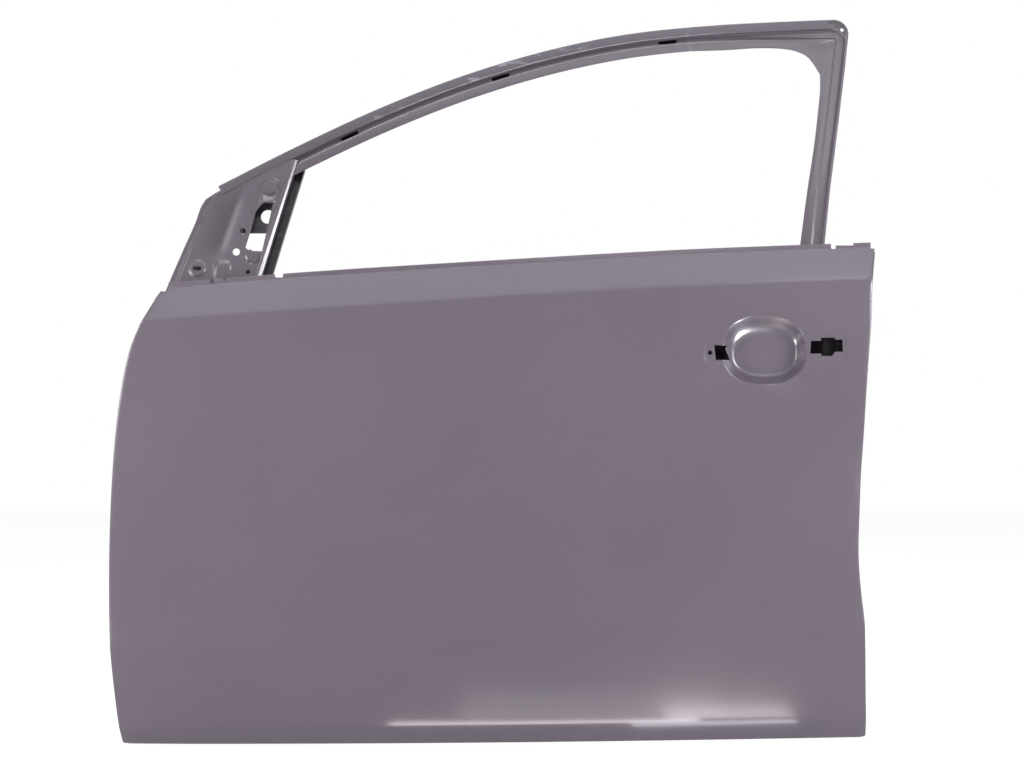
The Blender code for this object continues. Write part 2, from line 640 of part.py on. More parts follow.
def make_skin():
    rows = []
    for row in skin_rows():
        rows.append([place(*skin_point(row, share)) for share in SKIN_COLUMNS])
    belt = rows[-1]
    for lift in (FLANGE_JOGGLE, FLANGE_HEIGHT):
        rows.append([(x, y + FLANGE_JOGGLE, z + lift) for x, y, z in belt])
    low = len(TUCK_ROW_SHARES) + len(SILL_ROW_SHARES) + len(BODY_ROW_SHARES)
    high = low + len(RECESS_ROW_SHARES) - 1
    left = len(FRONT_COLUMN_SHARES) + len(MIDDLE_COLUMN_SHARES)
    right = left + len(RECESS_COLUMN_SHARES) - 1
    bm, verts = grid_mesh(rows, lambda r, c: not (low <= r < high and left <= c < right))
    frame = verts[low][left:right] + [row[right] for row in verts[low:high]]
    frame += verts[high][right:left:-1] + [row[left] for row in verts[high:low:-1]]
    make_recess(bm, frame)
    upright = verts[1:-2]
    hem(bm, [row[0] for row in upright], [row[1] for row in upright])
    hem(bm, [row[-1] for row in upright[::-1]], [row[-2] for row in upright[::-1]])
    hem(bm, verts[0][-2:0:-1], verts[1][-2:0:-1])
    skin = finish_sheet(bm, "outer_skin", SKIN_SHEET, PRIMER_PAINT)
    middle = RECESS_DEPTH / 2
    reach = RECESS_DEPTH + CUT_OVERRUN
    corner = GUIDE_HOLE_RADIUS / 2
    lever = rounded_box(LEVER_HOLE_X, LEVER_HOLE_Z, LEVER_HOLE_LENGTH, LEVER_HOLE_HEIGHT, corner, 1)
    slim = KEY_HOLE_HEIGHT / 2
    tall = KEY_BODY_HEIGHT / 2
    left = KEY_HOLE_X - KEY_HOLE_LENGTH / 2
    right = KEY_HOLE_X + KEY_HOLE_LENGTH / 2
    body_left = KEY_HOLE_X - KEY_BODY_LENGTH / 2
    body_right = KEY_HOLE_X + KEY_BODY_LENGTH / 2
    key = [
        (left, -slim), (body_left, -slim), (body_left, -tall), (body_right - slim / 2, -tall),
        (body_right, -slim), (right, -slim), (right, slim), (body_right, slim),
        (body_right - slim / 2, tall), (body_left, tall), (body_left, slim), (left, slim),
    ]
    key = [(x, z + KEY_HOLE_Z) for x, z in key]
    guide = disc(GUIDE_HOLE_X, LEVER_HOLE_Z, GUIDE_HOLE_RADIUS, 10)
    openings = [
        prism(name, outline, middle, reach)
        for name, outline in (("lever_cutter", lever), ("key_cutter", key), ("guide_cutter", guide))
    ]
    cut(skin, *openings)
    for n, share in enumerate(BELT_NOTCH_SHARES):
        x = share * SKIN_LENGTH
        z = belt_z(x) + FLANGE_HEIGHT
        outline = rounded_box(x, z, BELT_NOTCH_LENGTH, FLANGE_HEIGHT, BELT_NOTCH_LENGTH / 8, 1)
        cut(skin, prism(f"belt_notch_cutter_{n}", outline, BELT_DEPTH, CUT_OVERRUN))
    return openings


# Inner panel


def pads_of(side):
    """Raised pads of one wall, as (height of the middle, height), with the depths they span."""
    if side < 0:
        hinges = ((UPPER_HINGE_Z, HINGE_PAD_HEIGHT), (LOWER_HINGE_Z, HINGE_PAD_HEIGHT))
        return hinges + ((CHECK_PAD_Z, CHECK_PAD_HEIGHT),), PAD_DEPTH_LOW, PAD_DEPTH_HIGH
    return ((LATCH_Z, LATCH_PAD_HEIGHT),), LATCH_PAD_DEPTH_LOW, LATCH_PAD_DEPTH_HIGH


def panel_top(x):
    return belt_z(x) - RAIL_BELOW_BELT


def side_heights(side):
    """Heights of the wall's points: the skin's own rows and the edges of the pads, from the top down."""
    heights = []
    pads, _, _ = pads_of(side)
    for middle, height in pads:
        for end in (-height / 2 - PAD_EDGE, -height / 2, height / 2, height / 2 + PAD_EDGE):
            heights.append(middle + end)
    for row in skin_rows()[1:]:
        z = skin_point(row, side)[1]
        if all(abs(z - h) > PAD_EDGE for h in heights):
            heights.append(z)
    top = panel_top(FRONT_WALL_X if side < 0 else REAR_WALL_X)
    return [top] + sorted((h for h in heights if h < top - PAD_EDGE), reverse=True)


def on_pad(z, depth, side):
    pads, low, high = pads_of(side)
    near = PAD_EDGE / 4
    inside = low - near <= depth <= high + near
    return inside and any(abs(z - m) <= h / 2 + near for m, h in pads)


def under_skin(x, z):
    return skin_depth(x, z) + SKIN_SHEET + LAP_GAP


def wall_x(z, side):
    """The walls stand upright, except where the skin's edge comes nearer."""
    edge = skin_edge(min(z, belt_z(side * HALF)), side) - side * FLANGE_WIDTH
    return max(edge, FRONT_WALL_X) if side < 0 else min(edge, REAR_WALL_X)


def corner_arc(start_x, foot, corner, side):
    """Points round the lower corner of a ring, after the last one of its side."""
    steps = [math.radians(90 * (k + 1) / CORNER_STEPS) for k in range(CORNER_STEPS)]
    return [(start_x - side * corner * (1 - math.cos(a)), foot - corner * math.sin(a)) for a in steps]


def wall_ring(flange_edge, level):
    """Points of the flange or the wall: down the front, along the bottom and up the rear.

    level holds the depths of the front, the bottom and the rear, or None to lie under the skin.
    """
    inset = HEM_RADIUS + LAP_GAP if flange_edge else FLANGE_WIDTH
    corner = FLANGE_CORNER / 4 if flange_edge else FLANGE_CORNER
    sides = []
    for side in (-1, 1):
        points = []
        for z in side_heights(side):
            x = wall_x(z, side)
            if flange_edge:
                x = skin_edge(min(z, belt_z(side * HALF)), side) - side * LAP_GAP
            depth = under_skin(x, z) if level is None else level[1 + side]
            if level is not None and on_pad(z, depth, side):
                x += side * PAD_RISE
            points.append((x, z, depth))
        x = points[-1][0]
        foot = line_z(0, x) + inset + corner
        for share, (ax, az) in zip(CORNER_BLEND, corner_arc(x, foot, corner, side)):
            depth = under_skin(ax, az) if level is None else level[1 + side]
            if level is not None:
                depth += (level[1] - level[1 + side]) * share
            points.append((ax, az, depth))
        sides.append(points)
    return close_ring(sides, inset, None if level is None else level[1])


def close_ring(sides, inset, depth):
    front, rear = sides[0], sides[1][::-1]
    sill = []
    for k in range(1, SILL_SPANS):
        x = front[-1][0] + k / SILL_SPANS * (rear[0][0] - front[-1][0])
        z = line_z(0, x) + inset
        sill.append((x, z, under_skin(x, z) if depth is None else depth))
    return front, sill, rear


def face_z(row, x, inset):
    """Height at x of a row of the cabin face: the rail's rows first, then shares of the rest."""
    top, bottom = panel_top(x), line_z(0, x) + inset
    drops = (0.0, RAIL_HEIGHT, RAIL_HEIGHT + RAIL_SLOPE)
    if row < len(drops):
        return top - drops[row]
    share = FACE_ROW_SHARES[row - len(drops)]
    return top - drops[-1] - share * (top - drops[-1] - bottom)


def rail_depth():
    """Depth of the belt rail, which lies against the back of the rear pillar."""
    return FRAME_DEPTH + FRAME_BOX + tumble(-RAIL_BELOW_BELT) + LAP_GAP


def face_depth(row):
    return rail_depth() if row < 2 else INNER_DEPTH


def face_ring(inset, corner, depths):
    rows = len(FACE_ROW_SHARES) + 3
    sides = []
    for side in (-1, 1):
        points = []
        for row in range(rows):
            x = FRONT_WALL_X if side < 0 else REAR_WALL_X
            for _ in range(4):
                z = face_z(row, x, FLANGE_WIDTH + inset + corner)
                x = wall_x(z, side) - side * inset
            points.append((x, z, depths[1 + side] if depths else face_depth(row)))
        x, z, depth = points[-1]
        for share, (ax, az) in zip(CORNER_BLEND, corner_arc(x, z, corner, side)):
            points.append((ax, az, depth + ((depths[1] if depths else INNER_DEPTH) - depth) * share))
        sides.append(points)
    return close_ring(sides, FLANGE_WIDTH + inset, depths[1] if depths else INNER_DEPTH)


def zip_chains(bm, first, second):
    """Joins two chains of points that run side by side, whatever their counts."""
    i = j = 0
    while i < len(first) - 1 or j < len(second) - 1:
        last_i, last_j = i == len(first) - 1, j == len(second) - 1
        ahead_i = None if last_i else (first[i + 1].co - second[j].co).length
        ahead_j = None if last_j else (second[j + 1].co - first[i].co).length
        if last_j or (not last_i and ahead_i <= ahead_j):
            bm.faces.new((first[i], first[i + 1], second[j]))
            i += 1
        else:
            bm.faces.new((first[i], second[j + 1], second[j]))
            j += 1


def make_inner_panel():
    levels = [None]
    for pad_share, edge, sill_share in ((0, -1, 0.25), (0, 0, 0.3), (1, 0, 0.7), (1, 1, 0.75)):
        levels.append((
            (PAD_DEPTH_LOW, PAD_DEPTH_HIGH)[pad_share] + edge * PAD_EDGE,
            BOTTOM_DEPTH + sill_share * (SILL_SHELF_DEPTH - BOTTOM_DEPTH),
            (LATCH_PAD_DEPTH_LOW, LATCH_PAD_DEPTH_HIGH)[pad_share] + edge * PAD_EDGE,
        ))
    shelf = (FRONT_SHELF_DEPTH, SILL_SHELF_DEPTH, REAR_SHELF_DEPTH)
    walls = [wall_ring(True, None)] + [wall_ring(False, level) for level in levels + [shelf]]
    faces = [
        face_ring(SHELF_WIDTH, SHELF_CORNER, shelf),
        face_ring(SHELF_WIDTH + STEP_WIDTH, FACE_CORNER, None),
    ]
    bm = bmesh.new()
    loops = []
    for ring in walls + faces:
        loops.append([[bm.verts.new(place(*point)) for point in part] for part in ring])
    joined = [front + sill + rear for front, sill, rear in loops]
    for outer, inner in zip(joined[:len(walls)], joined[1:len(walls)]):
        grid_faces([outer, inner], bm)
    grid_faces([joined[-2], joined[-1]], bm)
    shelf_out, shelf_in = loops[len(walls) - 1], loops[len(walls)]
    zip_chains(bm, shelf_in[0], shelf_out[0])
    zip_chains(bm, shelf_in[2], shelf_out[2])
    grid_faces([
        [shelf_out[0][-1], *shelf_out[1], shelf_out[2][0]],
        [shelf_in[0][-1], *shelf_in[1], shelf_in[2][0]],
    ], bm)
    front, sill, rear = loops[-1]
    rows = []
    for row, (left, right) in enumerate(zip(front[:-1], rear[:0:-1])):
        points = [left]
        for k in range(1, SILL_SPANS):
            share = k / SILL_SPANS
            x = left.co.x + share * (right.co.x - left.co.x)
            line = min(row, len(FACE_ROW_SHARES) + 2)
            z = face_z(line, x, FLANGE_WIDTH + SHELF_WIDTH + STEP_WIDTH + FACE_CORNER)
            if row > line:
                z = left.co.z + share * (right.co.z - left.co.z)
            points.append(bm.verts.new(place(x, z, face_depth(row))))
        rows.append(points + [right])
    rows.append([front[-1], *sill, rear[0]])
    grid_faces(rows, bm)
    bmesh.ops.recalc_face_normals(bm, faces=bm.faces)
    flange = min(bm.faces, key=lambda f: f.calc_center_median().y)
    if flange.normal.y > 0:
        bmesh.ops.reverse_faces(bm, faces=bm.faces)
    panel = finish_sheet(bm, "inner_panel", INNER_SHEET, PRIMER_PAINT)
    cut(panel, *panel_cutters())
    return panel


def bore_x(name, y, z, radius, x, half_x, sides=12):
    """A round cutter along x."""
    return side_prism(name, disc(y, z, radius, sides), x, half_x)


def wall_bores(side):
    """Cutters through one wall and the reinforcement behind it, by the name of what they serve."""
    x = FRONT_WALL_X if side < 0 else REAR_WALL_X
    reach = CUT_OVERRUN / 2
    bow = plan(x)
    if side > 0:
        y = bow + (LATCH_PAD_DEPTH_LOW + LATCH_PAD_DEPTH_HIGH) / 2
        mouth = rounded_box(y, LATCH_Z, LATCH_MOUTH_WIDTH, LATCH_MOUTH_HEIGHT, LATCH_SCREW_RADIUS)
        tools = [side_prism("latch_mouth_cutter", mouth, x, reach)]
        half = LATCH_SCREW_SPACING / 2
        low = y - LATCH_MOUTH_WIDTH / 2
        for n, (sy, sz) in enumerate(((low, half), (low, -half), (y + LATCH_MOUTH_WIDTH / 2, half))):
            tools.append(bore_x(f"latch_screw_cutter_{n}", sy, LATCH_Z + sz, LATCH_SCREW_RADIUS, x, reach))
        return {"latch": tools}
    y = bow + (PAD_DEPTH_LOW + PAD_DEPTH_HIGH) / 2
    tools = {}
    for name, middle in (("upper_hinge", UPPER_HINGE_Z), ("lower_hinge", LOWER_HINGE_Z)):
        tools[name] = []
        for n, sign in enumerate((1, -1)):
            z = middle + sign * HINGE_BOLT_SPACING / 2
            tools[name].append(bore_x(f"{name}_cutter_{n}", y, z, HINGE_BOLT_RADIUS, x, reach))
    slot = rounded_box(y, CHECK_PAD_Z, CHECK_SLOT_WIDTH, CHECK_SLOT_HEIGHT, CHECK_BOLT_RADIUS, 2)
    tools["check_strap"] = [side_prism("check_slot_cutter", slot, x, reach)]
    for n, sign in enumerate((1, -1)):
        z = CHECK_PAD_Z + sign * CHECK_BOLT_SPACING / 2
        tools["check_strap"].append(bore_x(f"check_bolt_cutter_{n}", y, z, CHECK_BOLT_RADIUS, x, reach))
    tools["wiring"] = [bore_x("wiring_cutter", y, WIRING_HOLE_Z, WIRING_HOLE_RADIUS, x, reach, 20)]
    return tools


def panel_cutters():
    middle = INNER_DEPTH + PLAN_BOW / 2
    reach = PLAN_BOW + CUT_OVERRUN
    tools = [prism("speaker_cutter", disc(SPEAKER_X, SPEAKER_Z, SPEAKER_RADIUS, 28), middle, reach)]
    for name, shares, corner in (
        ("module_cutter", MODULE_SHARES, MODULE_CORNER),
        ("regulator_cutter", REGULATOR_SHARES, REGULATOR_CORNER),
    ):
        sizes = [share * whole for share, whole in zip(shares, (SKIN_LENGTH, BELT_HEIGHT) * 2)]
        tools.append(prism(name, rounded_box(*sizes, corner), middle, reach))
    for n, (length_share, height_share) in enumerate(CLIP_SHARES):
        outline = disc(length_share * SKIN_LENGTH, height_share * BELT_HEIGHT, CLIP_HOLE_RADIUS, 8)
        tools.append(prism(f"clip_cutter_{n}", outline, middle, reach))
    for n, share in enumerate(DRAIN_SHARES):
        x = share * SKIN_LENGTH
        bm = bmesh.new()
        bmesh.ops.create_cube(bm, size=1.0)
        drain = cutter(bm, f"drain_cutter_{n}")
        drain.location = place(x, line_z(0, x) + FLANGE_WIDTH, (BOTTOM_DEPTH + SILL_SHELF_DEPTH) / 2)
        drain.scale = (DRAIN_LENGTH, DRAIN_HEIGHT, CUT_OVERRUN / 2)
        tools.append(drain)
    return tools


# Hinge, check strap and latch reinforcements


def make_wall_brace(name, side, middle, height, low, high, tools):
    """A plate behind a pad, with a leg turned along the shelf."""
    x = FRONT_WALL_X if side < 0 else REAR_WALL_X
    inner = x - side * LAP_GAP
    leg_x = inner - side * BRACE_LEG
    bow = plan(x)
    section = [(inner, bow + low), (inner, bow + high), (leg_x, plan(leg_x) + high)]
    rows = [[(px, py, middle + sign * height / 2) for px, py in section] for sign in (-1, 1)]
    bm, _ = grid_mesh(rows)
    bmesh.ops.recalc_face_normals(bm, faces=bm.faces)
    first = min(bm.faces, key=lambda f: abs(f.calc_center_median().x - inner))
    if first.normal.x * side < 0:
        bmesh.ops.reverse_faces(bm, faces=bm.faces)
    brace = finish_sheet(bm, name, HINGE_SHEET, PRIMER_PAINT)
    cut(brace, *tools)
    return inner - side * HINGE_SHEET


def make_nut(name, location, turn):
    """A weld nut: a six-sided block with a bore."""
    bm = bmesh.new()
    size = {"radius1": NUT_RADIUS, "radius2": NUT_RADIUS, "depth": NUT_HEIGHT}
    bmesh.ops.create_cone(bm, cap_ends=True, segments=6, **size)
    mesh = bpy.data.meshes.new(name)
    bm.to_mesh(mesh)
    bm.free()
    nut = link(mesh, name, PRIMER_PAINT, PARTS)
    nut.location = location
    nut.rotation_euler = turn
    bm = bmesh.new()
    size = {"radius1": NUT_BORE, "radius2": NUT_BORE, "depth": NUT_HEIGHT * 2}
    bmesh.ops.create_cone(bm, cap_ends=True, segments=12, **size)
    bore = cutter(bm, name + "_cutter")
    bore.location = location
    bore.rotation_euler = turn
    cut(nut, bore)


def make_reinforcements(bores):
    along_x = (0.0, math.radians(90), 0.0)
    front_y = plan(FRONT_WALL_X) + (PAD_DEPTH_LOW + PAD_DEPTH_HIGH) / 2
    low, high = PAD_DEPTH_LOW - PAD_EDGE, FRONT_SHELF_DEPTH - WALL_CLEARANCE
    for name, middle in (("upper_hinge", UPPER_HINGE_Z), ("lower_hinge", LOWER_HINGE_Z)):
        item = name + "_reinforcement"
        face = make_wall_brace(item, -1, middle, HINGE_BRACE_HEIGHT, low, high, bores[name])
        for n, sign in enumerate((1, -1)):
            z = middle + sign * HINGE_BOLT_SPACING / 2
            make_nut(f"{name}_nut_{n + 1}", (face + LAP_GAP + NUT_HEIGHT / 2, front_y, z), along_x)
    item = "check_strap_reinforcement"
    make_wall_brace(item, -1, CHECK_PAD_Z, CHECK_PAD_HEIGHT, low, high, bores["check_strap"])
    low, high = LATCH_PAD_DEPTH_LOW - PAD_EDGE, REAR_SHELF_DEPTH - WALL_CLEARANCE
    make_wall_brace("latch_reinforcement", 1, LATCH_Z, LATCH_BRACE_HEIGHT, low, high, bores["latch"])


# Window frame


def header_station(x):
    """A place on the header's top edge, with the direction from it towards the glass."""
    step = SKIN_LENGTH / 1000
    z = rise_z(HEADER(x / SKIN_LENGTH))
    rise = (rise_z(HEADER((x + step) / SKIN_LENGTH)) - rise_z(HEADER((x - step) / SKIN_LENGTH))) / (2 * step)
    size = math.hypot(1.0, rise)
    return x, z, rise / size, -1.0 / size


def sweep(name, stations, sections, thickness, keep=None):
    """A sheet swept along stations (x, z, direction towards the glass), with a section at each."""
    rows = []
    for (x, z, across, up), section in zip(stations, sections):
        rows.append([frame_place(x + a * across, z + a * up, b) for a, b in section])
    return sheet(name, rows, thickness, PRIMER_PAINT, keep)


def outer_section(width, land, groove_depth, groove_end, lip_depth):
    """Visible section of the frame from its outer edge to the glass side, as (width, depth)."""
    return [
        (0.0, TOP_RETURN), (0.0, 0.0), (land, 0.0), (land + STEP_RUN, groove_depth),
        (groove_end, groove_depth), (groove_end + STEP_RUN, lip_depth), (width, lip_depth),
        (width, lip_depth + STEP_RUN),
    ]


def inner_section(width, skew=1.0):
    """Section of the closing pressing, from the glass side to the outer edge.

    skew is how far from square the section's width lies to the outer edge.
    """
    lap = (FRAME_SHEET + LAP_GAP * 2) / skew
    back = FRAME_BOX
    return [
        (width - 2 * STEP_RUN, GROOVE_DEPTH + lap), (width - 2 * STEP_RUN, back / 2),
        (width - LAND_WIDTH, back), (TOP_RETURN / 2, back), (lap, back - STEP_RUN * 2), (lap, LIP_DEPTH),
    ]


def make_header():
    front = HEADER_SHARES[0][0] * SKIN_LENGTH
    seam = SEAM_SHARE * SKIN_LENGTH
    start = BAR_TOP_X + BAR_RIB
    xs = [front, front + (start - front) / 3, start - (start - front) / 3, start]
    xs += [start + (seam - start) * share for share in HEADER_ROW_SHARES]
    stations = [header_station(x) for x in xs]
    section = outer_section(HEADER_WIDTH, LAND_WIDTH, GROOVE_DEPTH, LAND_WIDTH + GROOVE_WIDTH, LIP_DEPTH)
    header = sweep("header_outer", stations, [section] * len(xs), FRAME_SHEET, lambda r, c: r >= 3 or c < 2)
    for n, share in enumerate(SLOT_SHARES):
        x, z, across, up = header_station(share * SKIN_LENGTH)
        a = LAND_WIDTH + STEP_RUN + (GROOVE_WIDTH - STEP_RUN) / 2
        tilt = math.atan2(across, -up)
        outline = []
        for px, pz in rounded_box(0.0, 0.0, SLOT_LENGTH, SLOT_WIDTH, SLOT_WIDTH / 3, 2):
            outline.append((
                x + a * across + px * math.cos(tilt) - pz * math.sin(tilt),
                z + a * up + px * math.sin(tilt) + pz * math.cos(tilt),
            ))
        middle = frame_place(x, z, GROOVE_DEPTH)[1]
        cut(header, prism(f"header_slot_cutter_{n}", outline, middle, GROOVE_DEPTH))
    first = BAR_TOP_X + BAR_RIB + BAR_CHANNEL + STEP_RUN
    xs = [first + (seam - first) * share for share in HEADER_ROW_SHARES]
    xs.insert(0, first)
    sections = [inner_section(HEADER_WIDTH)] * len(xs)
    sweep("header_inner", [header_station(x) for x in xs], sections, FRAME_SHEET)


def corner_stations():
    """The rear corner and pillar, as pairs of points on the outer edge and the glass side."""
    pairs = []
    seam = SEAM_SHARE + SEAM_GAP / SKIN_LENGTH
    outer = [(share, HEADER(share)) for share in (seam,) + CORNER_TOP_SHARES]
    end_x, end_z = HEADER_SHARES[-1]
    down_x, down_z = REAR_FRAME(CORNER_RISE_SHARE), CORNER_RISE_SHARE
    for angle in CORNER_TURNS:
        turn = math.radians(angle)
        outer.append((end_x + (down_x - end_x) * math.sin(turn), down_z + (end_z - down_z) * math.cos(turn)))
    outer.append((down_x, down_z))
    x, z, across, up = header_station(seam * SKIN_LENGTH)
    first = ((x + HEADER_WIDTH * across) / SKIN_LENGTH, (z + HEADER_WIDTH * up - BELT_HEIGHT) / FRAME_RISE)
    inner = [first, *GUSSET_SHARES]
    for (ox, oz), (ix, iz) in zip(outer, inner):
        pairs.append(((ox, oz), (ix, iz)))
    for high, low in PILLAR_SHARES:
        pairs.append(((REAR_FRAME(high), high), (GLASS_EDGE(low), low)))
    edge = [(ox * SKIN_LENGTH, rise_z(oz)) for (ox, oz), _ in pairs]
    stations = []
    for n, ((x, z), (_, (ix, iz))) in enumerate(zip(edge, pairs)):
        before, after = edge[max(0, n - 1)], edge[min(n + 1, len(edge) - 1)]
        dx, dz = ix * SKIN_LENGTH - x, rise_z(iz) - z
        width = math.hypot(dx, dz)
        run = (after[0] - before[0], after[1] - before[1])
        skew = abs(dx * run[1] - dz * run[0]) / (width * math.hypot(*run))
        stations.append(((x, z, dx / width, dz / width), width, skew))
    return stations


def make_rear_corner():
    stations = corner_stations()
    sections = []
    turn = len(CORNER_TOP_SHARES) + len(CORNER_TURNS)
    for n, (_, width, skew) in enumerate(stations):
        t = min(1.0, n / turn)
        land = LAND_WIDTH + (PILLAR_LAND - LAND_WIDTH) * t
        groove = GROOVE_DEPTH + (PILLAR_GROOVE_DEPTH - GROOVE_DEPTH) * t
        end = LAND_WIDTH + GROOVE_WIDTH + (PILLAR_GROOVE - LAND_WIDTH - GROOVE_WIDTH) * t
        lip = LIP_DEPTH + (PILLAR_LIP_DEPTH - LIP_DEPTH) * t
        sections.append(outer_section(width, land / skew, groove, end / skew, lip))
    places = [station[0] for station in stations]
    corner = sweep("rear_pillar_outer", places, sections, FRAME_SHEET)
    x, z, across, up = places[len(CORNER_TOP_SHARES) + 2]
    hole = disc(x + across * CORNER_DROP, z + up * CORNER_DROP, CORNER_HOLE_RADIUS, 8)
    cut(corner, prism("corner_hole_cutter", hole, frame_place(x, z, 0.0)[1], GROOVE_DEPTH))
    sections = [inner_section(width, skew) for _, width, skew in stations]
    sweep("rear_pillar_inner", places, sections, FRAME_SHEET)


def bar_x(z):
    """Front edge of the front glass channel at a height."""
    return BAR_TOP_X - BAR_LEAN * (BAR_TOP_Z - z)


def make_front_channel():
    section = [
        (0.0, BAR_LEG_DEPTH), (0.0, BAR_FACE_DEPTH), (BAR_RIB, BAR_FACE_DEPTH),
        (BAR_RIB + STEP_RUN, BAR_CHANNEL_DEPTH), (BAR_RIB + BAR_CHANNEL, BAR_CHANNEL_DEPTH),
        (BAR_RIB + BAR_CHANNEL, BAR_REAR_DEPTH),
    ]
    top = []
    for share, (a, b) in zip(BAR_CUT_SHARES, section):
        z = BAR_TOP_Z + share * HEADER_WIDTH
        top.append(frame_place(bar_x(z) + a, z, b))
    rows = [top]
    for share in BAR_ROW_SHARES:
        z = BAR_TOP_Z - BAR_LENGTH * share
        rows.append([frame_place(bar_x(z) + a, z, b) for a, b in section])
    sheet("front_glass_channel", rows[::-1], FRAME_SHEET, PRIMER_PAINT)


def make_rear_channel():
    rows = []
    for share in (0.0, 0.5, 1.0):
        z = rise_z(REAR_CHANNEL_SHARE) - RUN_DROP * share
        slope = (GLASS_EDGE(-0.2) - GLASS_EDGE(-0.5)) * SKIN_LENGTH / (rise_z(-0.2) - rise_z(-0.5))
        x = GLASS_EDGE(-0.2) * SKIN_LENGTH + slope * (z - rise_z(-0.2))
        near, far = RUN_NEAR_DEPTH, RUN_NEAR_DEPTH + RUN_WIDTH
        section = [(-RUN_LEG, far), (0.0, far), (0.0, near), (-RUN_LEG, near)]
        rows.append([frame_place(x + RUN_LEG + a, z, b) for a, b in section])
    sheet("rear_glass_channel", rows, FRAME_SHEET, PRIMER_PAINT)


# Mirror corner


def make_mirror_corner():
    rows = []
    for v in MIRROR_ROW_SHARES:
        rise = MIRROR_FRONT_SHARES[0][0] + v * (MIRROR_FRONT_SHARES[-1][0] - MIRROR_FRONT_SHARES[0][0])
        front_z = rise_z(rise)
        front = (MIRROR_FRONT(rise) * SKIN_LENGTH, front_z)
        rear_z = front_z + v * (MIRROR_TOP_Z - front_z)
        rows.append(mirror_row(front, (bar_x(rear_z) - BAR_GAP, rear_z)))
    top = []
    start = HEADER_SHARES[0][0] * SKIN_LENGTH + LAND_WIDTH / 3
    end = bar_x(MIRROR_TOP_Z) - BAR_GAP * 3
    for n in range(len(rows[0])):
        share = MIRROR_COLUMN_SHARES[n]
        x, z, across, up = header_station(start + share * (end - start))
        a = LAND_WIDTH / 2
        depth = MIRROR_FACE_DEPTH if n > 1 else MIRROR_FLANGE_DEPTH
        top.append(frame_place(x + a * across, z + a * up, depth))
    rows.append(top)
    panel = sheet("mirror_panel", rows, FRAME_SHEET, PRIMER_PAINT)
    outline, holes, slot = (
        [(a * SKIN_LENGTH, rise_z(b)) for a, b in shares]
        for shares in (MIRROR_CUT_SHARES, MIRROR_HOLE_SHARES, [MIRROR_SLOT_SHARES])
    )
    middle = frame_place(*holes[0], MIRROR_FACE_DEPTH)[1]
    tools = [prism("mirror_window_cutter", outline, middle, CUT_OVERRUN)]
    for n, (hole, radius) in enumerate(zip(holes, MIRROR_HOLE_RADII)):
        tools.append(prism(f"mirror_hole_cutter_{n}", disc(*hole, radius), middle, CUT_OVERRUN))
    x, z = slot[0]
    outline = rounded_box(x, z, MIRROR_SLOT_LENGTH, MIRROR_SLOT_HEIGHT, MIRROR_SLOT_HEIGHT / 3, 2)
    tools.append(prism("mirror_slot_cutter", outline, middle, CUT_OVERRUN))
    raise_disc(panel, "mirror_boss", BOSS_X, BOSS_Z, BOSS_RADIUS, BOSS_RISE)
    raise_disc(panel, "slot_boss", x, z, MIRROR_SLOT_LENGTH, BOSS_RISE / 2)
    cut(panel, *tools)
    make_mirror_bracket()


def raise_disc(panel, name, x, z, radius, height):
    """Presses a round boss outwards in the mirror panel."""
    bm = bmesh.new()
    depth = height + FRAME_SHEET / 2
    size = {"radius1": radius, "radius2": radius - height, "depth": depth}
    bmesh.ops.create_cone(bm, cap_ends=True, segments=20, **size)
    boss = cutter(bm, name)
    boss.location = frame_place(x, z, MIRROR_FACE_DEPTH - height + depth / 2)
    boss.rotation_euler = (math.radians(90) - BELT_TILT, 0.0, 0.0)
    union = panel.modifiers.new("Raise " + name, "BOOLEAN")
    union.operation = "UNION"
    union.solver = "EXACT"
    union.object = boss


def mirror_row(front, rear):
    points = []
    for n, share in enumerate(MIRROR_COLUMN_SHARES):
        x = front[0] + share * (rear[0] - front[0])
        z = front[1] + share * (rear[1] - front[1])
        if n == 1:
            x = front[0] + MIRROR_FLANGE
        if n == 2:
            x = front[0] + MIRROR_FLANGE + STEP_RUN * 2
        points.append(frame_place(x, z, MIRROR_FACE_DEPTH if n > 1 else MIRROR_FLANGE_DEPTH))
    return points


def make_mirror_bracket():
    """A plate behind the mirror window, with a turned edge on each long side."""
    rows = []
    for share in (0.0, 0.5, 1.0):
        z = BRACKET_BOTTOM_Z + share * BRACKET_HEIGHT
        rear = bar_x(z) - BAR_GAP * 2
        front = rear - BRACKET_LENGTH * (1 - share * BRACKET_TAPER_SHARE)
        lip = MIRROR_FACE_DEPTH + FRAME_SHEET + LAP_GAP
        section = [(front - BRACKET_LIP, lip), (front, lip), (front, BRACKET_DEPTH), (rear, BRACKET_DEPTH)]
        rows.append([frame_place(x, z, b) for x, b in section])
    bracket = sheet("mirror_bracket", rows, BRACKET_SHEET, PRIMER_PAINT)
    middle = frame_place(BRACKET_HOLE_X, BRACKET_HOLE_Z, BRACKET_DEPTH)[1]
    outline = disc(BRACKET_HOLE_X, BRACKET_HOLE_Z, BRACKET_HOLE_RADIUS, 20)
    cut(bracket, prism("bracket_hole_cutter", outline, middle, BRACKET_SHEET * 4))


# Belt reinforcements


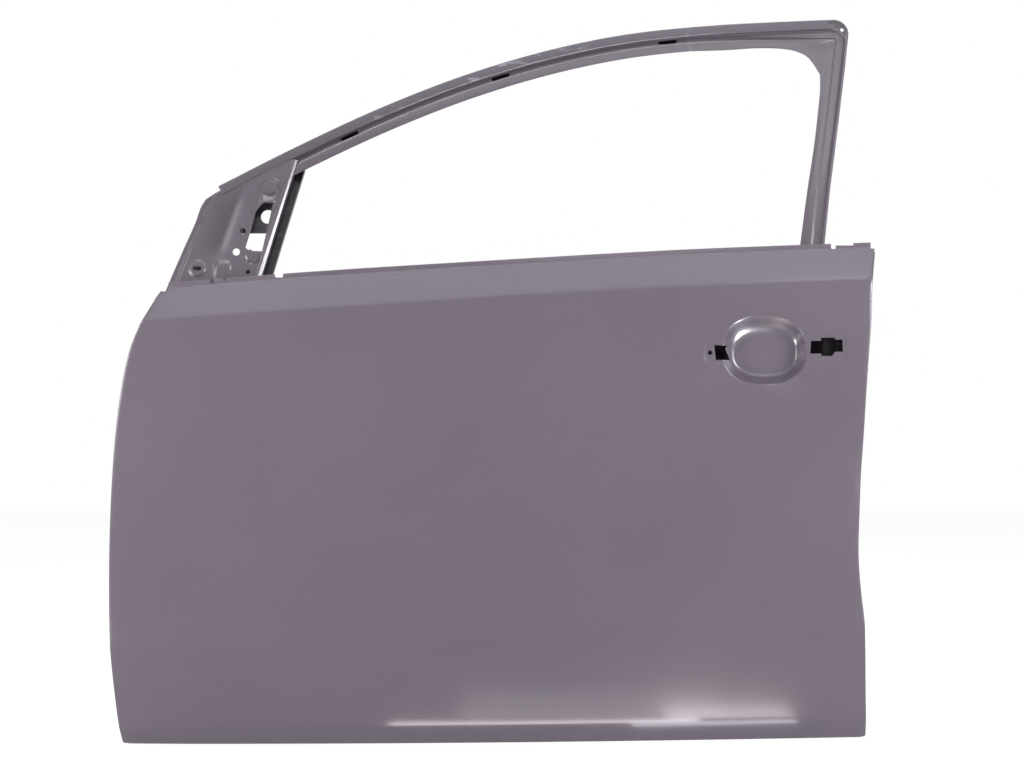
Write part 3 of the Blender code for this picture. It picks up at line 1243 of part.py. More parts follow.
def make_belt_braces():
    top = BELT_DEPTH + FLANGE_JOGGLE + SKIN_SHEET + LAP_GAP
    rows = []
    first, last = OUTER_BRACE_SHARES
    for n in range(BRACE_SPANS + 1):
        x = (first + (last - first) * n / BRACE_SPANS) * SKIN_LENGTH
        foot = belt_z(x) - BELT_BRACE_HEIGHT
        lap = SKIN_SHEET + LAP_GAP * 3
        low = foot + BELT_BRACE_DEPTH
        rows.append([
            place(x, belt_z(x) + BELT_BRACE_RISE, top),
            place(x, belt_z(x), top),
            place(x, belt_z(x) - BELT_BRACE_DEPTH / 2, top + FLANGE_JOGGLE),
            place(x, low, top + FLANGE_JOGGLE / 2),
            place(x, low - BELT_BRACE_DEPTH / 5, skin_depth(x, low - BELT_BRACE_DEPTH / 5) + lap),
            place(x, foot, skin_depth(x, foot) + lap),
        ])
    sheet("belt_reinforcement_outer", rows, BELT_BRACE_SHEET, PRIMER_PAINT)
    rows = []
    first, last = INNER_BRACE_SHARES
    rail = rail_depth() - LAP_GAP
    edge = FLANGE_HEIGHT
    for n in range(BRACE_SPANS + 1):
        x = (first + (last - first) * n / BRACE_SPANS) * SKIN_LENGTH
        high = panel_top(x) - FRAME_SHEET
        low = panel_top(x) - RAIL_HEIGHT + FRAME_SHEET
        box = rail - INNER_BRACE_DEPTH
        rows.append([
            place(x, low, rail), place(x, low + edge, rail), place(x, low + edge + STEP_RUN, box),
            place(x, high - edge - STEP_RUN, box), place(x, high - edge, rail), place(x, high, rail),
        ])
    sheet("belt_reinforcement_inner", rows, BELT_BRACE_SHEET, PRIMER_PAINT)


# Impact beam, mastic pads and damping sheet


def beam_line():
    """Both ends of the beam's axis."""
    ends = []
    for x, share in zip((FRONT_WALL_X + BEAM_END_GAP, REAR_WALL_X - BEAM_END_GAP), BEAM_HEIGHT_SHARES):
        z = share * BELT_HEIGHT
        depth = skin_depth(x, z) + SKIN_SHEET + BEAM_SKIN_GAP + BEAM_RADIUS
        ends.append(place(x, z, depth))
    return ends


def make_beam():
    (x0, y0, z0), (x1, y1, z1) = beam_line()
    bm = bmesh.new()
    rings = []
    for x, y, z in ((x0, y0, z0), (x1, y1, z1)):
        ring = []
        for k in range(BEAM_SIDES):
            turn = 2 * math.pi * k / BEAM_SIDES
            ring.append(bm.verts.new((x, y + BEAM_RADIUS * math.cos(turn), z + BEAM_RADIUS * math.sin(turn))))
        rings.append(ring + ring[:1])
    grid_faces(rings, bm)
    bmesh.ops.recalc_face_normals(bm, faces=bm.faces)
    face = next(iter(bm.faces))
    if face.normal.y * (face.calc_center_median().y - (y0 + y1) / 2) < 0:
        bmesh.ops.reverse_faces(bm, faces=bm.faces)
    finish_sheet(bm, "impact_beam", BEAM_WALL, PRIMER_PAINT)


def beam_axis(x):
    (x0, y0, z0), (x1, y1, z1) = beam_line()
    share = (x - x0) / (x1 - x0)
    return y0 + share * (y1 - y0), z0 + share * (z1 - z0)


def make_beam_brackets():
    """A saddle over each end of the beam, with wings that lie beside the skin's hem flange."""
    for name, side in (("beam_bracket_front", -1), ("beam_bracket_rear", 1)):
        wall = FRONT_WALL_X if side < 0 else REAR_WALL_X
        outer = wall - side * WALL_CLEARANCE
        inner = wall - side * BEAM_BRACKET_LENGTH
        reach = BEAM_RADIUS + LAP_GAP
        rows = []
        for x in sorted((outer, inner)):
            y, z = beam_axis(x)
            section = [(0.0, -reach - BEAM_BRACKET_WING)]
            for k in range(BRACKET_ARC_STEPS + 1):
                turn = math.pi * k / BRACKET_ARC_STEPS
                section.append((reach * math.sin(turn), -reach * math.cos(turn)))
            section.append((0.0, reach + BEAM_BRACKET_WING))
            rows.append([(x, y + dy, z + dz) for dy, dz in section])
        bm, _ = grid_mesh(rows)
        bmesh.ops.recalc_face_normals(bm, faces=bm.faces)
        far = max(bm.faces, key=lambda f: f.calc_center_median().y)
        if far.normal.y > 0:
            bmesh.ops.reverse_faces(bm, faces=bm.faces)
        finish_sheet(bm, name, BRACKET_SHEET, PRIMER_PAINT)


def make_soft_pieces():
    for n, share in enumerate(MASTIC_SHARES):
        x = share * SKIN_LENGTH
        y, z = beam_axis(x)
        low = place(x, z, skin_depth(x, z) + SKIN_SHEET + LAP_GAP * 3)[1]
        high = y - BEAM_RADIUS - LAP_GAP
        bm = bmesh.new()
        bmesh.ops.create_cube(bm, size=1.0)
        mesh = bpy.data.meshes.new("pad")
        bm.to_mesh(mesh)
        bm.free()
        pad = link(mesh, f"mastic_pad_{n + 1}", MASTIC_RUBBER, PARTS)
        pad.location = (x, (low + high) / 2, z)
        pad.scale = (MASTIC_LENGTH, high - low, MASTIC_HEIGHT)
    rows = []
    for r in range(DAMPER_SPANS + 1):
        z = DAMPER_Z + (r / DAMPER_SPANS - 0.5) * DAMPER_HEIGHT
        row = []
        for c in range(DAMPER_SPANS + 1):
            x = DAMPER_X + (c / DAMPER_SPANS - 0.5) * DAMPER_LENGTH
            row.append(place(x, z, skin_depth(x, z) + SKIN_SHEET + LAP_GAP))
        rows.append(row)
    sheet("damping_sheet", rows, DAMPER_THICKNESS, BITUMEN_SHEET)


def make_handle_plate(openings):
    """A plate behind the hand recess that carries the handle's frame, on legs above and below."""
    half = RECESS_HEIGHT / 2 + STEP_RUN
    lap = SKIN_SHEET + LAP_GAP
    rows = []
    for dz in (-half - HANDLE_LEG, -half - STEP_RUN, -half, half, half + STEP_RUN, half + HANDLE_LEG):
        row = []
        for share in HANDLE_COLUMN_SHARES:
            x = RECESS_X + share * HANDLE_PLATE_LENGTH
            z = RECESS_Z + dz
            row.append(place(x, z, HANDLE_PLATE_DEPTH if abs(dz) <= half else skin_depth(x, z) + lap))
        rows.append(row)
    plate = sheet("handle_reinforcement", rows, BRACKET_SHEET, PRIMER_PAINT)
    cut(plate, *openings)


def main():
    openings = make_skin()
    bores = wall_bores(-1)
    bores.update(wall_bores(1))
    panel = make_inner_panel()
    for tools in bores.values():
        cut(panel, *tools)
    make_reinforcements(bores)
    make_header()
    make_rear_corner()
    make_front_channel()
    make_rear_channel()
    make_mirror_corner()
    make_belt_braces()
    make_beam()
    make_beam_brackets()
    make_soft_pieces()
    make_handle_plate(openings)


PARTS = bpy.data.collections.new("car_door_shell")
CUTTERS = bpy.data.collections.new("cutters")
for old in list(bpy.data.objects):
    bpy.data.objects.remove(old)
bpy.context.scene.collection.children.link(PARTS)
bpy.context.scene.collection.children.link(CUTTERS)
PRIMER_PAINT = new_material("grey_primer", PRIMER, 0.38)
MASTIC_RUBBER = new_material("black_mastic", MASTIC, 0.8)
BITUMEN_SHEET = new_material("bitumen_sheet", BITUMEN, 0.9)
DATUM = bpy.data.objects.new("upper_hinge_datum", None)
PARTS.objects.link(DATUM)
HINGE_PAD_X = FRONT_WALL_X - PAD_RISE - INNER_SHEET
HINGE_PAD_Y = plan(FRONT_WALL_X) + (PAD_DEPTH_LOW + PAD_DEPTH_HIGH) / 2
DATUM.location = (-HINGE_PAD_X, -HINGE_PAD_Y, -UPPER_HINGE_Z)
main()
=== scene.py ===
"""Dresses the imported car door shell: pressed, hemmed and welded steel sheets in a thin grey dip primer.

The script is laid out as an add-on. Each operator makes one group of pieces in the frame's place.
In the door's own grid x runs to the car's rear from the middle of the skin, z runs up from the
skin's lowest point and y runs into the car. The "depth" of a place is its y less the door's bow.
"""

import math

import bmesh
import bpy
import numpy as np
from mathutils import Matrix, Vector


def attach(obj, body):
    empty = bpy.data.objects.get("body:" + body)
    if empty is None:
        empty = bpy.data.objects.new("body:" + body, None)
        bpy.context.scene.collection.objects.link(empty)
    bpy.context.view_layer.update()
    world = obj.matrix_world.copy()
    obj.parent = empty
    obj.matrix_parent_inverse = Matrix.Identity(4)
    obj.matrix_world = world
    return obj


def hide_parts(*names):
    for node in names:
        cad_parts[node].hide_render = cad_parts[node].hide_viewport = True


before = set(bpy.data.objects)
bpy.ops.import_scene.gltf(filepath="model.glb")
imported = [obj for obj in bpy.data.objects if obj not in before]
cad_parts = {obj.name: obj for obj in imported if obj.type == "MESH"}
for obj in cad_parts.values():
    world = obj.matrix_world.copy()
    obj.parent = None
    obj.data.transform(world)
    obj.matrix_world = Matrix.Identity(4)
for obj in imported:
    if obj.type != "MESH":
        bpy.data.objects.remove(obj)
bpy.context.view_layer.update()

bl_info = {
    "name": "Car door shell",
    "version": (1, 0, 0),
    "blender": (4, 5, 0),
    "location": "3D View > Sidebar > Door shell",
    "description": "Pressed sheets, window frame, reinforcements and primer of a front door shell",
    "category": "Add Mesh",
}

BODY = "root"

# The door's main sizes, as in the frame
SKIN_LENGTH = 1.086
BELT_HEIGHT = 0.703
FRAME_RISE = 0.345
INNER_DEPTH = 0.118
PLAN_BOW = 0.014
FRONT_ROLL = 0.006
FRONT_ROLL_SHARE = 0.35
SKIN_SHEET = 0.0008
INNER_SHEET = 0.0008
FRAME_SHEET = 0.0010
BRACKET_SHEET = 0.0015
LAP_GAP = 0.0005
HALF = SKIN_LENGTH / 2
HEM_RADIUS = SKIN_SHEET + LAP_GAP + INNER_SHEET / 2

# The upper hinge pad is the frame's origin
HINGE_PAD_INSET = 0.0322
HINGE_PAD_DEPTH = 0.045
HINGE_PAD_SHARE = 0.63016

# Heights of the skin's lines, as (share of length from the middle, share of belt height)
BOTTOM_SHARES = ((-0.5, 0.0), (0.0, 0.006), (0.5, 0.0145))
BEND_SHARES = ((-0.5, 0.034), (0.0, 0.046), (0.5, 0.0575))
CREASE_SHARES = ((-0.5, 0.198), (0.0, 0.224), (0.5, 0.247))
SHOULDER_SHARES = ((-0.5, 0.848), (-0.25, 0.8735), (0.0, 0.899), (0.25, 0.9205), (0.38, 0.931), (0.5, 0.937))
BELT_SHARES = ((-0.5, 0.909), (-0.25, 0.9385), (0.0, 0.9625), (0.25, 0.9845), (0.5, 1.0))
LINE_DEPTHS = (0.030, 0.017, 0.003, 0.006, 0.028)
SCOOP_DEPTH = 0.0088
SCOOP_SHARES = ((0.0, 0.34), (0.08, 0.72), (0.22, 1.0), (0.40, 0.66), (0.60, 0.18), (0.78, 0.0),
                (0.90, 0.18), (1.0, 0.68))

# Insets of the skin's edges, as (share of belt height, share of length)
FRONT_INSET_SHARES = (
    (0.0, 0.0157), (0.05, 0.011), (0.1, 0.0074), (0.2, 0.0022), (0.33, 0.0), (0.45, 0.0018),
    (0.55, 0.0055), (0.63, 0.0100), (0.70, 0.0158), (0.75, 0.0213), (0.80, 0.0290), (0.852, 0.0425),
)
FRONT_CUT_SHARES = ((0.852, 0.0425), (0.95, 0.0768))
REAR_INSET_SHARES = (
    (0.0, 0.0125), (0.1, 0.0147), (0.2, 0.0163), (0.256, 0.0178), (0.3, 0.0208), (0.34, 0.0232),
    (0.387, 0.0246), (0.46, 0.0236), (0.55, 0.0214), (0.652, 0.0180), (0.75, 0.0142), (0.85, 0.0094),
    (0.937, 0.0064), (1.0, 0.0),
)

# The window frame's outline, as (share of length, share of frame rise) or the other way about
HEADER_SHARES = ((-0.374, 0.254), (-0.257, 0.446), (-0.151, 0.606), (-0.045, 0.742), (0.0626, 0.850),
                 (0.17, 0.926), (0.279, 0.967), (0.388, 0.989), (0.4605, 1.0))
REAR_FRAME_SHARES = ((-0.50, 0.4135), (-0.20, 0.4260), (0.029, 0.4355), (0.243, 0.4444), (0.449, 0.4550),
                     (0.658, 0.4660), (0.817, 0.4742), (0.936, 0.4800))
GLASS_EDGE_SHARES = ((-0.50, 0.3800), (-0.20, 0.3925), (0.029, 0.4035), (0.243, 0.4145), (0.475, 0.4278),
                     (0.606, 0.4340), (0.687, 0.4375), (0.753, 0.4385))
GUSSET_SHARES = ((0.262, 0.8475), (0.310, 0.8610), (0.3595, 0.8710), (0.3865, 0.8690), (0.400, 0.8640),
                 (0.4130, 0.8510), (0.4225, 0.8330), (0.4310, 0.7970), (0.4385, 0.7530))
FRAME_DEPTH = 0.043
FRAME_BEND_RADIUS = 1.924
BELT_TILT = math.radians(12)
RUN_OUT = 0.08


def curve_through(points):
    """A smooth function through given points, as a cubic Hermite spline."""
    at, value = np.array(points, float).T
    slope = np.gradient(value, at)

    def height(x):
        i = np.clip(np.searchsorted(at, x) - 1, 0, len(at) - 2)
        step = at[i + 1] - at[i]
        t = (x - at[i]) / step
        rest = 1 - t
        return (
            value[i] * (1 + 2 * t) * rest**2
            + slope[i] * step * t * rest**2
            + value[i + 1] * t**2 * (3 - 2 * t)
            - slope[i + 1] * step * t**2 * rest
        )

    return height


LINE_SHARES = (BOTTOM_SHARES, BEND_SHARES, CREASE_SHARES, SHOULDER_SHARES, BELT_SHARES)
SKIN_LINES = [curve_through(shares) for shares in LINE_SHARES]
FRONT_INSET = curve_through(FRONT_INSET_SHARES)
FRONT_CUT = curve_through(FRONT_CUT_SHARES)
REAR_INSET = curve_through(REAR_INSET_SHARES)
SCOOP = curve_through(SCOOP_SHARES)
HEADER = curve_through(HEADER_SHARES)
REAR_FRAME = curve_through(REAR_FRAME_SHARES)
GLASS_EDGE = curve_through(GLASS_EDGE_SHARES)


def plan(x):
    """How far the door's curve in plan brings a place inwards of the middle of the door."""
    share = np.asarray(x) / SKIN_LENGTH
    roll = np.maximum(0.0, (-FRONT_ROLL_SHARE - share) / (0.5 - FRONT_ROLL_SHARE))
    return PLAN_BOW * (2 * share) ** 2 + FRONT_ROLL * roll**2


GRID_ORIGIN = np.array((
    HALF - HINGE_PAD_INSET,
    -float(plan(0.035 - HALF)) - HINGE_PAD_DEPTH,
    -HINGE_PAD_SHARE * BELT_HEIGHT,
))


def line_z(line, x):
    """Height at x of one of the skin's lines: 0 bottom, 1 bend, 2 lower crease, 3 shoulder, 4 belt."""
    return SKIN_LINES[line](np.asarray(x) / SKIN_LENGTH) * BELT_HEIGHT


def belt_z(x):
    return line_z(4, x)


def skin_edge(z, side):
    """Edge of the flat skin at a height, where the hem's fold begins."""
    share = np.asarray(z) / BELT_HEIGHT
    if side > 0:
        return HALF - REAR_INSET(np.minimum(share, 1.0)) * SKIN_LENGTH - HEM_RADIUS
    inset = np.where(share > FRONT_CUT_SHARES[0][0], FRONT_CUT(share), FRONT_INSET(share))
    return inset * SKIN_LENGTH - HALF + HEM_RADIUS


def place(x, z, depth):
    """A point of the door's grid in the frame."""
    x, z, depth = np.broadcast_arrays(*(np.asarray(v, float) for v in (x, z, depth)))
    return np.stack((x, plan(x) + depth, z), -1) + GRID_ORIGIN


def tumble(rise):
    """How far the side glass leans inwards at a height above the belt."""
    rise = np.asarray(rise, float)
    foot = FRAME_BEND_RADIUS * math.sin(BELT_TILT)
    drop = np.clip(-rise, 0, RUN_OUT)
    below = math.tan(BELT_TILT) * (drop**2 / (2 * RUN_OUT) - drop)
    reach = foot + np.maximum(rise, 0)
    above = math.sqrt(FRAME_BEND_RADIUS**2 - foot**2) - np.sqrt(FRAME_BEND_RADIUS**2 - reach**2)
    return np.where(rise < 0, below, above)


def frame_place(x, z, behind):
    """A point on the window frame, a given depth behind its outer face."""
    return place(x, z, FRAME_DEPTH + tumble(np.asarray(z) - belt_z(x)) + behind)


def rise_z(share):
    return BELT_HEIGHT + np.asarray(share) * FRAME_RISE


def ease(t):
    """Smooth step from 0 to 1."""
    t = np.clip(t, 0.0, 1.0)
    return t * t * (3 - 2 * t)


# Colours and finishes


def linear(colour):
    """Linear colour of an sRGB hex value."""
    channels = [int(colour[i:i + 2], 16) / 255 for i in (1, 3, 5)]
    return [c / 12.92 if c <= 0.04045 else ((c + 0.055) / 1.055) ** 2.4 for c in channels] + [1.0]


def node(tree, kind, inputs=(), **settings):
    """Adds a node with its settings; inputs gives each input, by name or number, a value or a link."""
    item = tree.nodes.new("ShaderNode" + kind)
    for name, value in settings.items():
        setattr(item, name, value)
    for name, value in dict(inputs).items():
        if isinstance(value, bpy.types.NodeSocket):
            tree.links.new(value, item.inputs[name])
        else:
            item.inputs[name].default_value = value
    return item


def new_surface(name):
    material = bpy.data.materials.new(name)
    material.use_nodes = True
    return material, material.node_tree, material.node_tree.nodes["Principled BSDF"]


def tones(*colours):
    """The colours of one finish: its film, then where it is deep, paler at sharp edges and specks, and marked
    by rinse.
    """
    return dict(zip(("film", "deep", "pale", "scuff"), map(linear, colours)))


PRIMER_COLOURS = tones("#6a606b", "#675d68", "#8a808b", "#a59ca8")
FRAME_COLOURS = tones("#625961", "#5e555d", "#857c87", "#a59ca8")
LAND_COLOURS = tones("#504851", "#4b434c", "#857c88", "#aaa2ae")
MIRROR_CORNER_COLOURS = tones("#635a63", "#5d545d", "#857c88", "#a59ca8")
# A copy of the frame primer, toned for how light the steps and returns look: painted shading
STEP_SHADING_COLOURS = tones("#6a616b", "#645b65", "#786f79", "#847b86")
# Near-dark primer that paints shade on the bar's returns and deep glass run, the corner cap and the carrier
# behind the mirror corner's window
STRIP_SHADE_COLOURS = tones("#433d43", "#3c373d", "#5a535a", "#7d747e")
# Near-black primer that paints the shade inside the door, seen through the handle's openings; its film also
# darkens the painted trough shade
SHADE_COLOURS = tones("#0f0d10", "#0c0a0d", "#171518", "#211e22")
MASTIC_COLOURS = {"deep": linear("#141416"), "pale": linear("#26262a")}
BITUMEN_COLOURS = {"deep": linear("#17171a"), "pale": linear("#2c2b2e")}
FINISHES = {}

# Widths of the patterns' features in millimetres, or along x, y and z. The film's specks and its
# orange peel and the mastic's pits are finer than this on the real door, and are drawn as coarse as
# they need to be to show.
CLOUD_WIDTH = 200
SPECK_WIDTH = 2.381
PEEL_WIDTH = 3.846
PIT_WIDTH = 1.429
RUN_WIDTHS = (38.46, 38.46, 333.33)
RINSE_WIDTHS = (62.5, 33.33, 16.67)
RINSE_CENTRE = (0.49, 0.0, 0.52)  # in the frame, in the middle of the header

# The trough of the mirror corner, by a point on it and its lean
TROUGH_X, TROUGH_Z, TROUGH_LEAN = -0.3775, 0.760, 0.321
# Painted shade along the mirror corner's trough: its film is darkened there towards the near-black shade
# colour
TROUGH_SHADE_SIDES = ((-0.030, 0.002), (0.011, 0.003))  # from the trough's line to where the painted shade starts and is full
TROUGH_SHADE_ENDS = ((0.230, 0.275), (0.375, 0.320))  # heights in the frame where the painted shade starts and is full


def per_metre(millimetres):
    """The scale of a pattern whose features are this wide."""
    return 1000 / millimetres


def layered(tree, ground, layers):
    """A colour with layers over it: (colour, share at full strength, pattern, where it starts, is full)."""
    tone = ground
    for colour, share, pattern, low, high in layers:
        span = {"Value": pattern, "From Min": low, "From Max": high, "To Max": share}
        amount = node(tree, "MapRange", span)
        tone = node(tree, "Mix", {0: amount.outputs[0], 6: tone, 7: colour}, data_type="RGBA").outputs[2]
    return tone


def paint_trough_shade(tree, spot):
    """Painted shade along the mirror corner's trough, soft in front and sharper behind."""
    lean = (1.0, 0.0, -TROUGH_LEAN)
    across = node(tree, "VectorMath", {0: spot, 1: lean}, operation="DOT_PRODUCT").outputs["Value"]
    middle = TROUGH_X + GRID_ORIGIN[0] - TROUGH_LEAN * (TROUGH_Z + GRID_ORIGIN[2])
    height = node(tree, "SeparateXYZ", {0: spot}).outputs[2]
    edges = [(across, middle + start, middle + full) for start, full in TROUGH_SHADE_SIDES]
    edges += [(height, start, full) for start, full in TROUGH_SHADE_ENDS]
    mark = 1.0
    for value, start, full in edges:
        edge = node(tree, "MapRange", {"Value": value, "From Min": start, "From Max": full}).outputs[0]
        mark = node(tree, "Math", {0: mark, 1: edge}, operation="MULTIPLY").outputs[0]
    return mark


def dip_primer(name, colours, scuffs=0.0, roughness=0.25, spread=9.0, trough_shade=False):
    """Cathodic dip primer, baked on pressed steel sheet: a slim even film with a satin gloss.

    It gives the eye a fine orange peel in the highlights, faint cloudy runs where it ran off,
    slightly paler sharp edges and, where scuffs asks for them, pale patches of dried rinse within a
    reach (spread, in metres) of the header's middle. Where asked, it also paints shade along the
    mirror corner's trough.
    """
    material, tree, shader = new_surface(name)
    spot = node(tree, "TexCoord").outputs["Object"]
    even = ((CLOUD_WIDTH, {"Detail": 3.0}), (SPECK_WIDTH, {"Roughness": 0.6}), (PEEL_WIDTH, {"Detail": 1.0}))
    cloud, speck, peel = (
        node(tree, "TexNoise", {"Vector": spot, "Scale": per_metre(width), **more}).outputs["Fac"]
        for width, more in even
    )
    marks = []
    for widths, more in ((RUN_WIDTHS, {"Detail": 4.0}), (RINSE_WIDTHS, {"Detail": 5.0, "Roughness": 0.65})):
        stretched = node(tree, "Mapping", {"Vector": spot, "Scale": tuple(map(per_metre, widths))}).outputs[0]
        marks.append(node(tree, "TexNoise", {"Vector": stretched, "Scale": 1.0, **more}).outputs["Fac"])
    run, rinse = marks
    away = node(tree, "VectorMath", {0: spot, 1: RINSE_CENTRE}, operation="DISTANCE").outputs["Value"]
    near = node(tree, "MapRange", {"Value": away, "From Min": spread, "From Max": spread * 0.6}).outputs[0]
    rinse = node(tree, "Math", {0: rinse, 1: near}, operation="MULTIPLY").outputs[0]
    # Paler film on sharp convex edges
    sharp_edges = node(tree, "NewGeometry").outputs["Pointiness"]
    tone = layered(tree, colours["deep"], (
        (colours["film"], 1.0, cloud, 0.35, 0.65), (colours["pale"], 0.10, speck, 0.35, 0.75),
        (colours["pale"], 0.03, run, 0.60, 0.80), (colours["pale"], 0.35, sharp_edges, 0.54, 0.62),
        (colours["scuff"], scuffs, rinse, 0.52, 0.60),
    ))
    # Painted shade along the mirror corner's trough
    if trough_shade:
        tone = layered(tree, tone, ((SHADE_COLOURS["film"], 0.40, paint_trough_shade(tree, spot), 0.0, 1.0),))
    gloss = node(tree, "MapRange", {"Value": cloud, "To Min": roughness - 0.04, "To Max": roughness + 0.04})
    bump = node(tree, "Bump", {"Height": peel, "Strength": 0.05, "Distance": 0.0004})
    tree.links.new(tone, shader.inputs["Base Color"])
    tree.links.new(gloss.outputs[0], shader.inputs["Roughness"])
    tree.links.new(bump.outputs[0], shader.inputs["Normal"])
    shader.inputs["IOR"].default_value = 1.5
    return material


def butyl_mastic(name, colours):
    """Anti-flutter mastic: a soft black compound, squeezed out and cured matt with a pitted skin."""
    material, tree, shader = new_surface(name)
    spot = node(tree, "TexCoord").outputs["Object"]
    scale = per_metre(PIT_WIDTH)
    pits = node(tree, "TexNoise", {"Vector": spot, "Scale": scale, "Detail": 3.0}).outputs["Fac"]
    tone = layered(tree, colours["deep"], ((colours["pale"], 1.0, pits, 0.3, 0.7),))
    bump = node(tree, "Bump", {"Height": pits, "Strength": 0.4, "Distance": 0.0006})
    tree.links.new(tone, shader.inputs["Base Color"])
    tree.links.new(bump.outputs[0], shader.inputs["Normal"])
    shader.inputs["Roughness"].default_value = 0.78
    return material


def make_finishes(sizes):
    """Every finish of the door by its short name."""
    skin = {**PRIMER_COLOURS, "film": tuple(sizes.primer_colour)}
    land = {"scuffs": sizes.rinse_marks, "roughness": 0.48, "spread": 0.28}
    FINISHES["primer"] = dip_primer("dip_primer_on_steel", skin, roughness=sizes.primer_roughness)
    FINISHES["frame"] = dip_primer("dip_primer_on_frame", FRAME_COLOURS)
    FINISHES["inside"] = dip_primer("dip_primer_inside_frame", FRAME_COLOURS, roughness=0.45)
    # The mirror corner's primer, with shade painted along its trough
    FINISHES["trough_shade"] = dip_primer("dip_primer_with_painted_trough_shade", MIRROR_CORNER_COLOURS, roughness=0.28, trough_shade=True)
    FINISHES["scuffed"] = dip_primer("dip_primer_scuffed", LAND_COLOURS, **land)
    # Painted shading of the frame's steps and returns
    FINISHES["step"] = dip_primer("dip_primer_painted_step_shading", STEP_SHADING_COLOURS)
    # Paints shade, with some rinse marks on it
    FINISHES["painted_shade"] = dip_primer("dip_primer_painted_dark_shade", STRIP_SHADE_COLOURS, scuffs=0.30)
    # Paints the shade inside the door behind the handle's openings
    FINISHES["painted_shade_black"] = dip_primer("dip_primer_painted_black_shade", SHADE_COLOURS, roughness=0.45)
    mastic = {**MASTIC_COLOURS, "deep": tuple(sizes.mastic_colour)}
    FINISHES["mastic"] = butyl_mastic("butyl_mastic", mastic)
    FINISHES["bitumen"] = butyl_mastic("bitumen_sheet", BITUMEN_COLOURS)


def dress_nodes():
    """Gives each node of the frame its finish, which is primer where its name starts with nothing listed."""
    # The handle reinforcement takes the near-black finish that paints the shade behind the handle's openings
    starts = {"mastic": "mastic", "damping": "bitumen", "handle": "painted_shade_black"}
    for name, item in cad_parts.items():
        item.data.materials.clear()
        item.data.materials.append(FINISHES[starts.get(name.split("_")[0], "primer")])


# Building blocks


def mesh_from(bm, name):
    mesh = bpy.data.meshes.new(name)
    bm.to_mesh(mesh)
    bm.free()
    return mesh


def link_new(name, data):
    """Puts data into the scene as a new object."""
    item = bpy.data.objects.new(name, data)
    bpy.context.scene.collection.objects.link(item)
    return item


def weld(bm, others, reach):
    """Adds other surfaces to one and welds their points where they lie within reach."""
    for other in others:
        bm.from_mesh(mesh_from(other, "joined"))
    bmesh.ops.remove_doubles(bm, verts=bm.verts, dist=reach)


def face_away(bm, point):
    """Turns a surface's faces the same way round, so that the first of them looks away from a point."""
    bmesh.ops.recalc_face_normals(bm, faces=bm.faces)
    bm.faces.ensure_lookup_table()
    face = bm.faces[0]
    if (face.calc_center_median() - Vector(point)).dot(face.normal) < 0:
        bmesh.ops.reverse_faces(bm, faces=bm.faces)


def new_piece(bm, name, finishes, replaced, thickness=None, angle=32, cutters=()):
    """Links a surface as a finished piece that stands for CAD nodes; thickness lies behind its faces."""
    mesh = mesh_from(bm, name)
    mesh.shade_smooth()
    for finish in finishes:
        mesh.materials.append(FINISHES[finish])
    piece = link_new(name, mesh)
    if thickness:
        solid = piece.modifiers.new("Sheet", "SOLIDIFY")
        solid.thickness = thickness
        solid.offset = -1
        solid.use_even_offset = True
    for cutter in cutters:
        boolean = piece.modifiers.new("Cut", "BOOLEAN")
        boolean.solver = "EXACT"
        boolean.object = cutter
    bpy.context.view_layer.update()
    done = bpy.data.meshes.new_from_object(piece.evaluated_get(bpy.context.evaluated_depsgraph_get()))
    piece.modifiers.clear()
    piece.data = done
    for cutter in cutters:
        bpy.data.objects.remove(cutter)
    done.shade_smooth()
    done.set_sharp_from_angle(angle=math.radians(angle))
    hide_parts(*replaced)
    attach(piece, BODY)
    return piece


def grid_mesh(points, keep=None):
    """A bmesh of a grid of points, whose rows go up and whose points go rearwards."""
    rows, columns = points.shape[:2]
    bm = bmesh.new()
    verts = [[bm.verts.new(p) for p in row] for row in points]
    for r in range(rows - 1):
        for c in range(columns - 1):
            if keep is None or keep(r, c):
                bm.faces.new((verts[r][c], verts[r][c + 1], verts[r + 1][c + 1], verts[r + 1][c]))
    bmesh.ops.delete(bm, geom=[v for v in bm.verts if not v.link_faces], context="VERTS")
    return bm


CURVE_STEPS = 4  # sides of the short curve at each bend of a section
BEND_SHARE = 0.3  # of a section's side that a bend takes at most


def rounded(section, radius, steps=CURVE_STEPS):
    """The points of a section with each inner corner turned into a short curve."""
    points = [np.asarray(p, float) for p in section]
    out = [points[0]]
    for before, corner, after in zip(points, points[1:], points[2:]):
        back, ahead = before - corner, after - corner
        reach = min(radius, np.linalg.norm(back) * BEND_SHARE, np.linalg.norm(ahead) * BEND_SHARE)
        start = corner + back / np.linalg.norm(back) * reach
        end = corner + ahead / np.linalg.norm(ahead) * reach
        for k in range(steps + 1):
            t = k / steps
            out.append((1 - t) ** 2 * start + 2 * t * (1 - t) * corner + t**2 * end)
    return out + [points[-1]]


def loft(sections, radius, steps=CURVE_STEPS, finishes=()):
    """A surface through sections of points in the frame, with its section's corners rounded.

    finishes pairs the numbers of the section's sides with the finish of the piece that each takes.
    """
    points = np.array([rounded(section, radius, steps) for section in sections])
    bm = grid_mesh(points)
    other = dict(finishes)
    for n, face in enumerate(bm.faces):
        side = n % (points.shape[1] - 1) // (steps + 1)
        face.material_index = other.get(side, 0)
    return bm


def prism(outline, centre, reach, along=1):
    """A cutter: an outline of (x, z) points, pushed through y, or one of (y, z) points through x."""
    return prisms([(outline, centre, reach, along)])


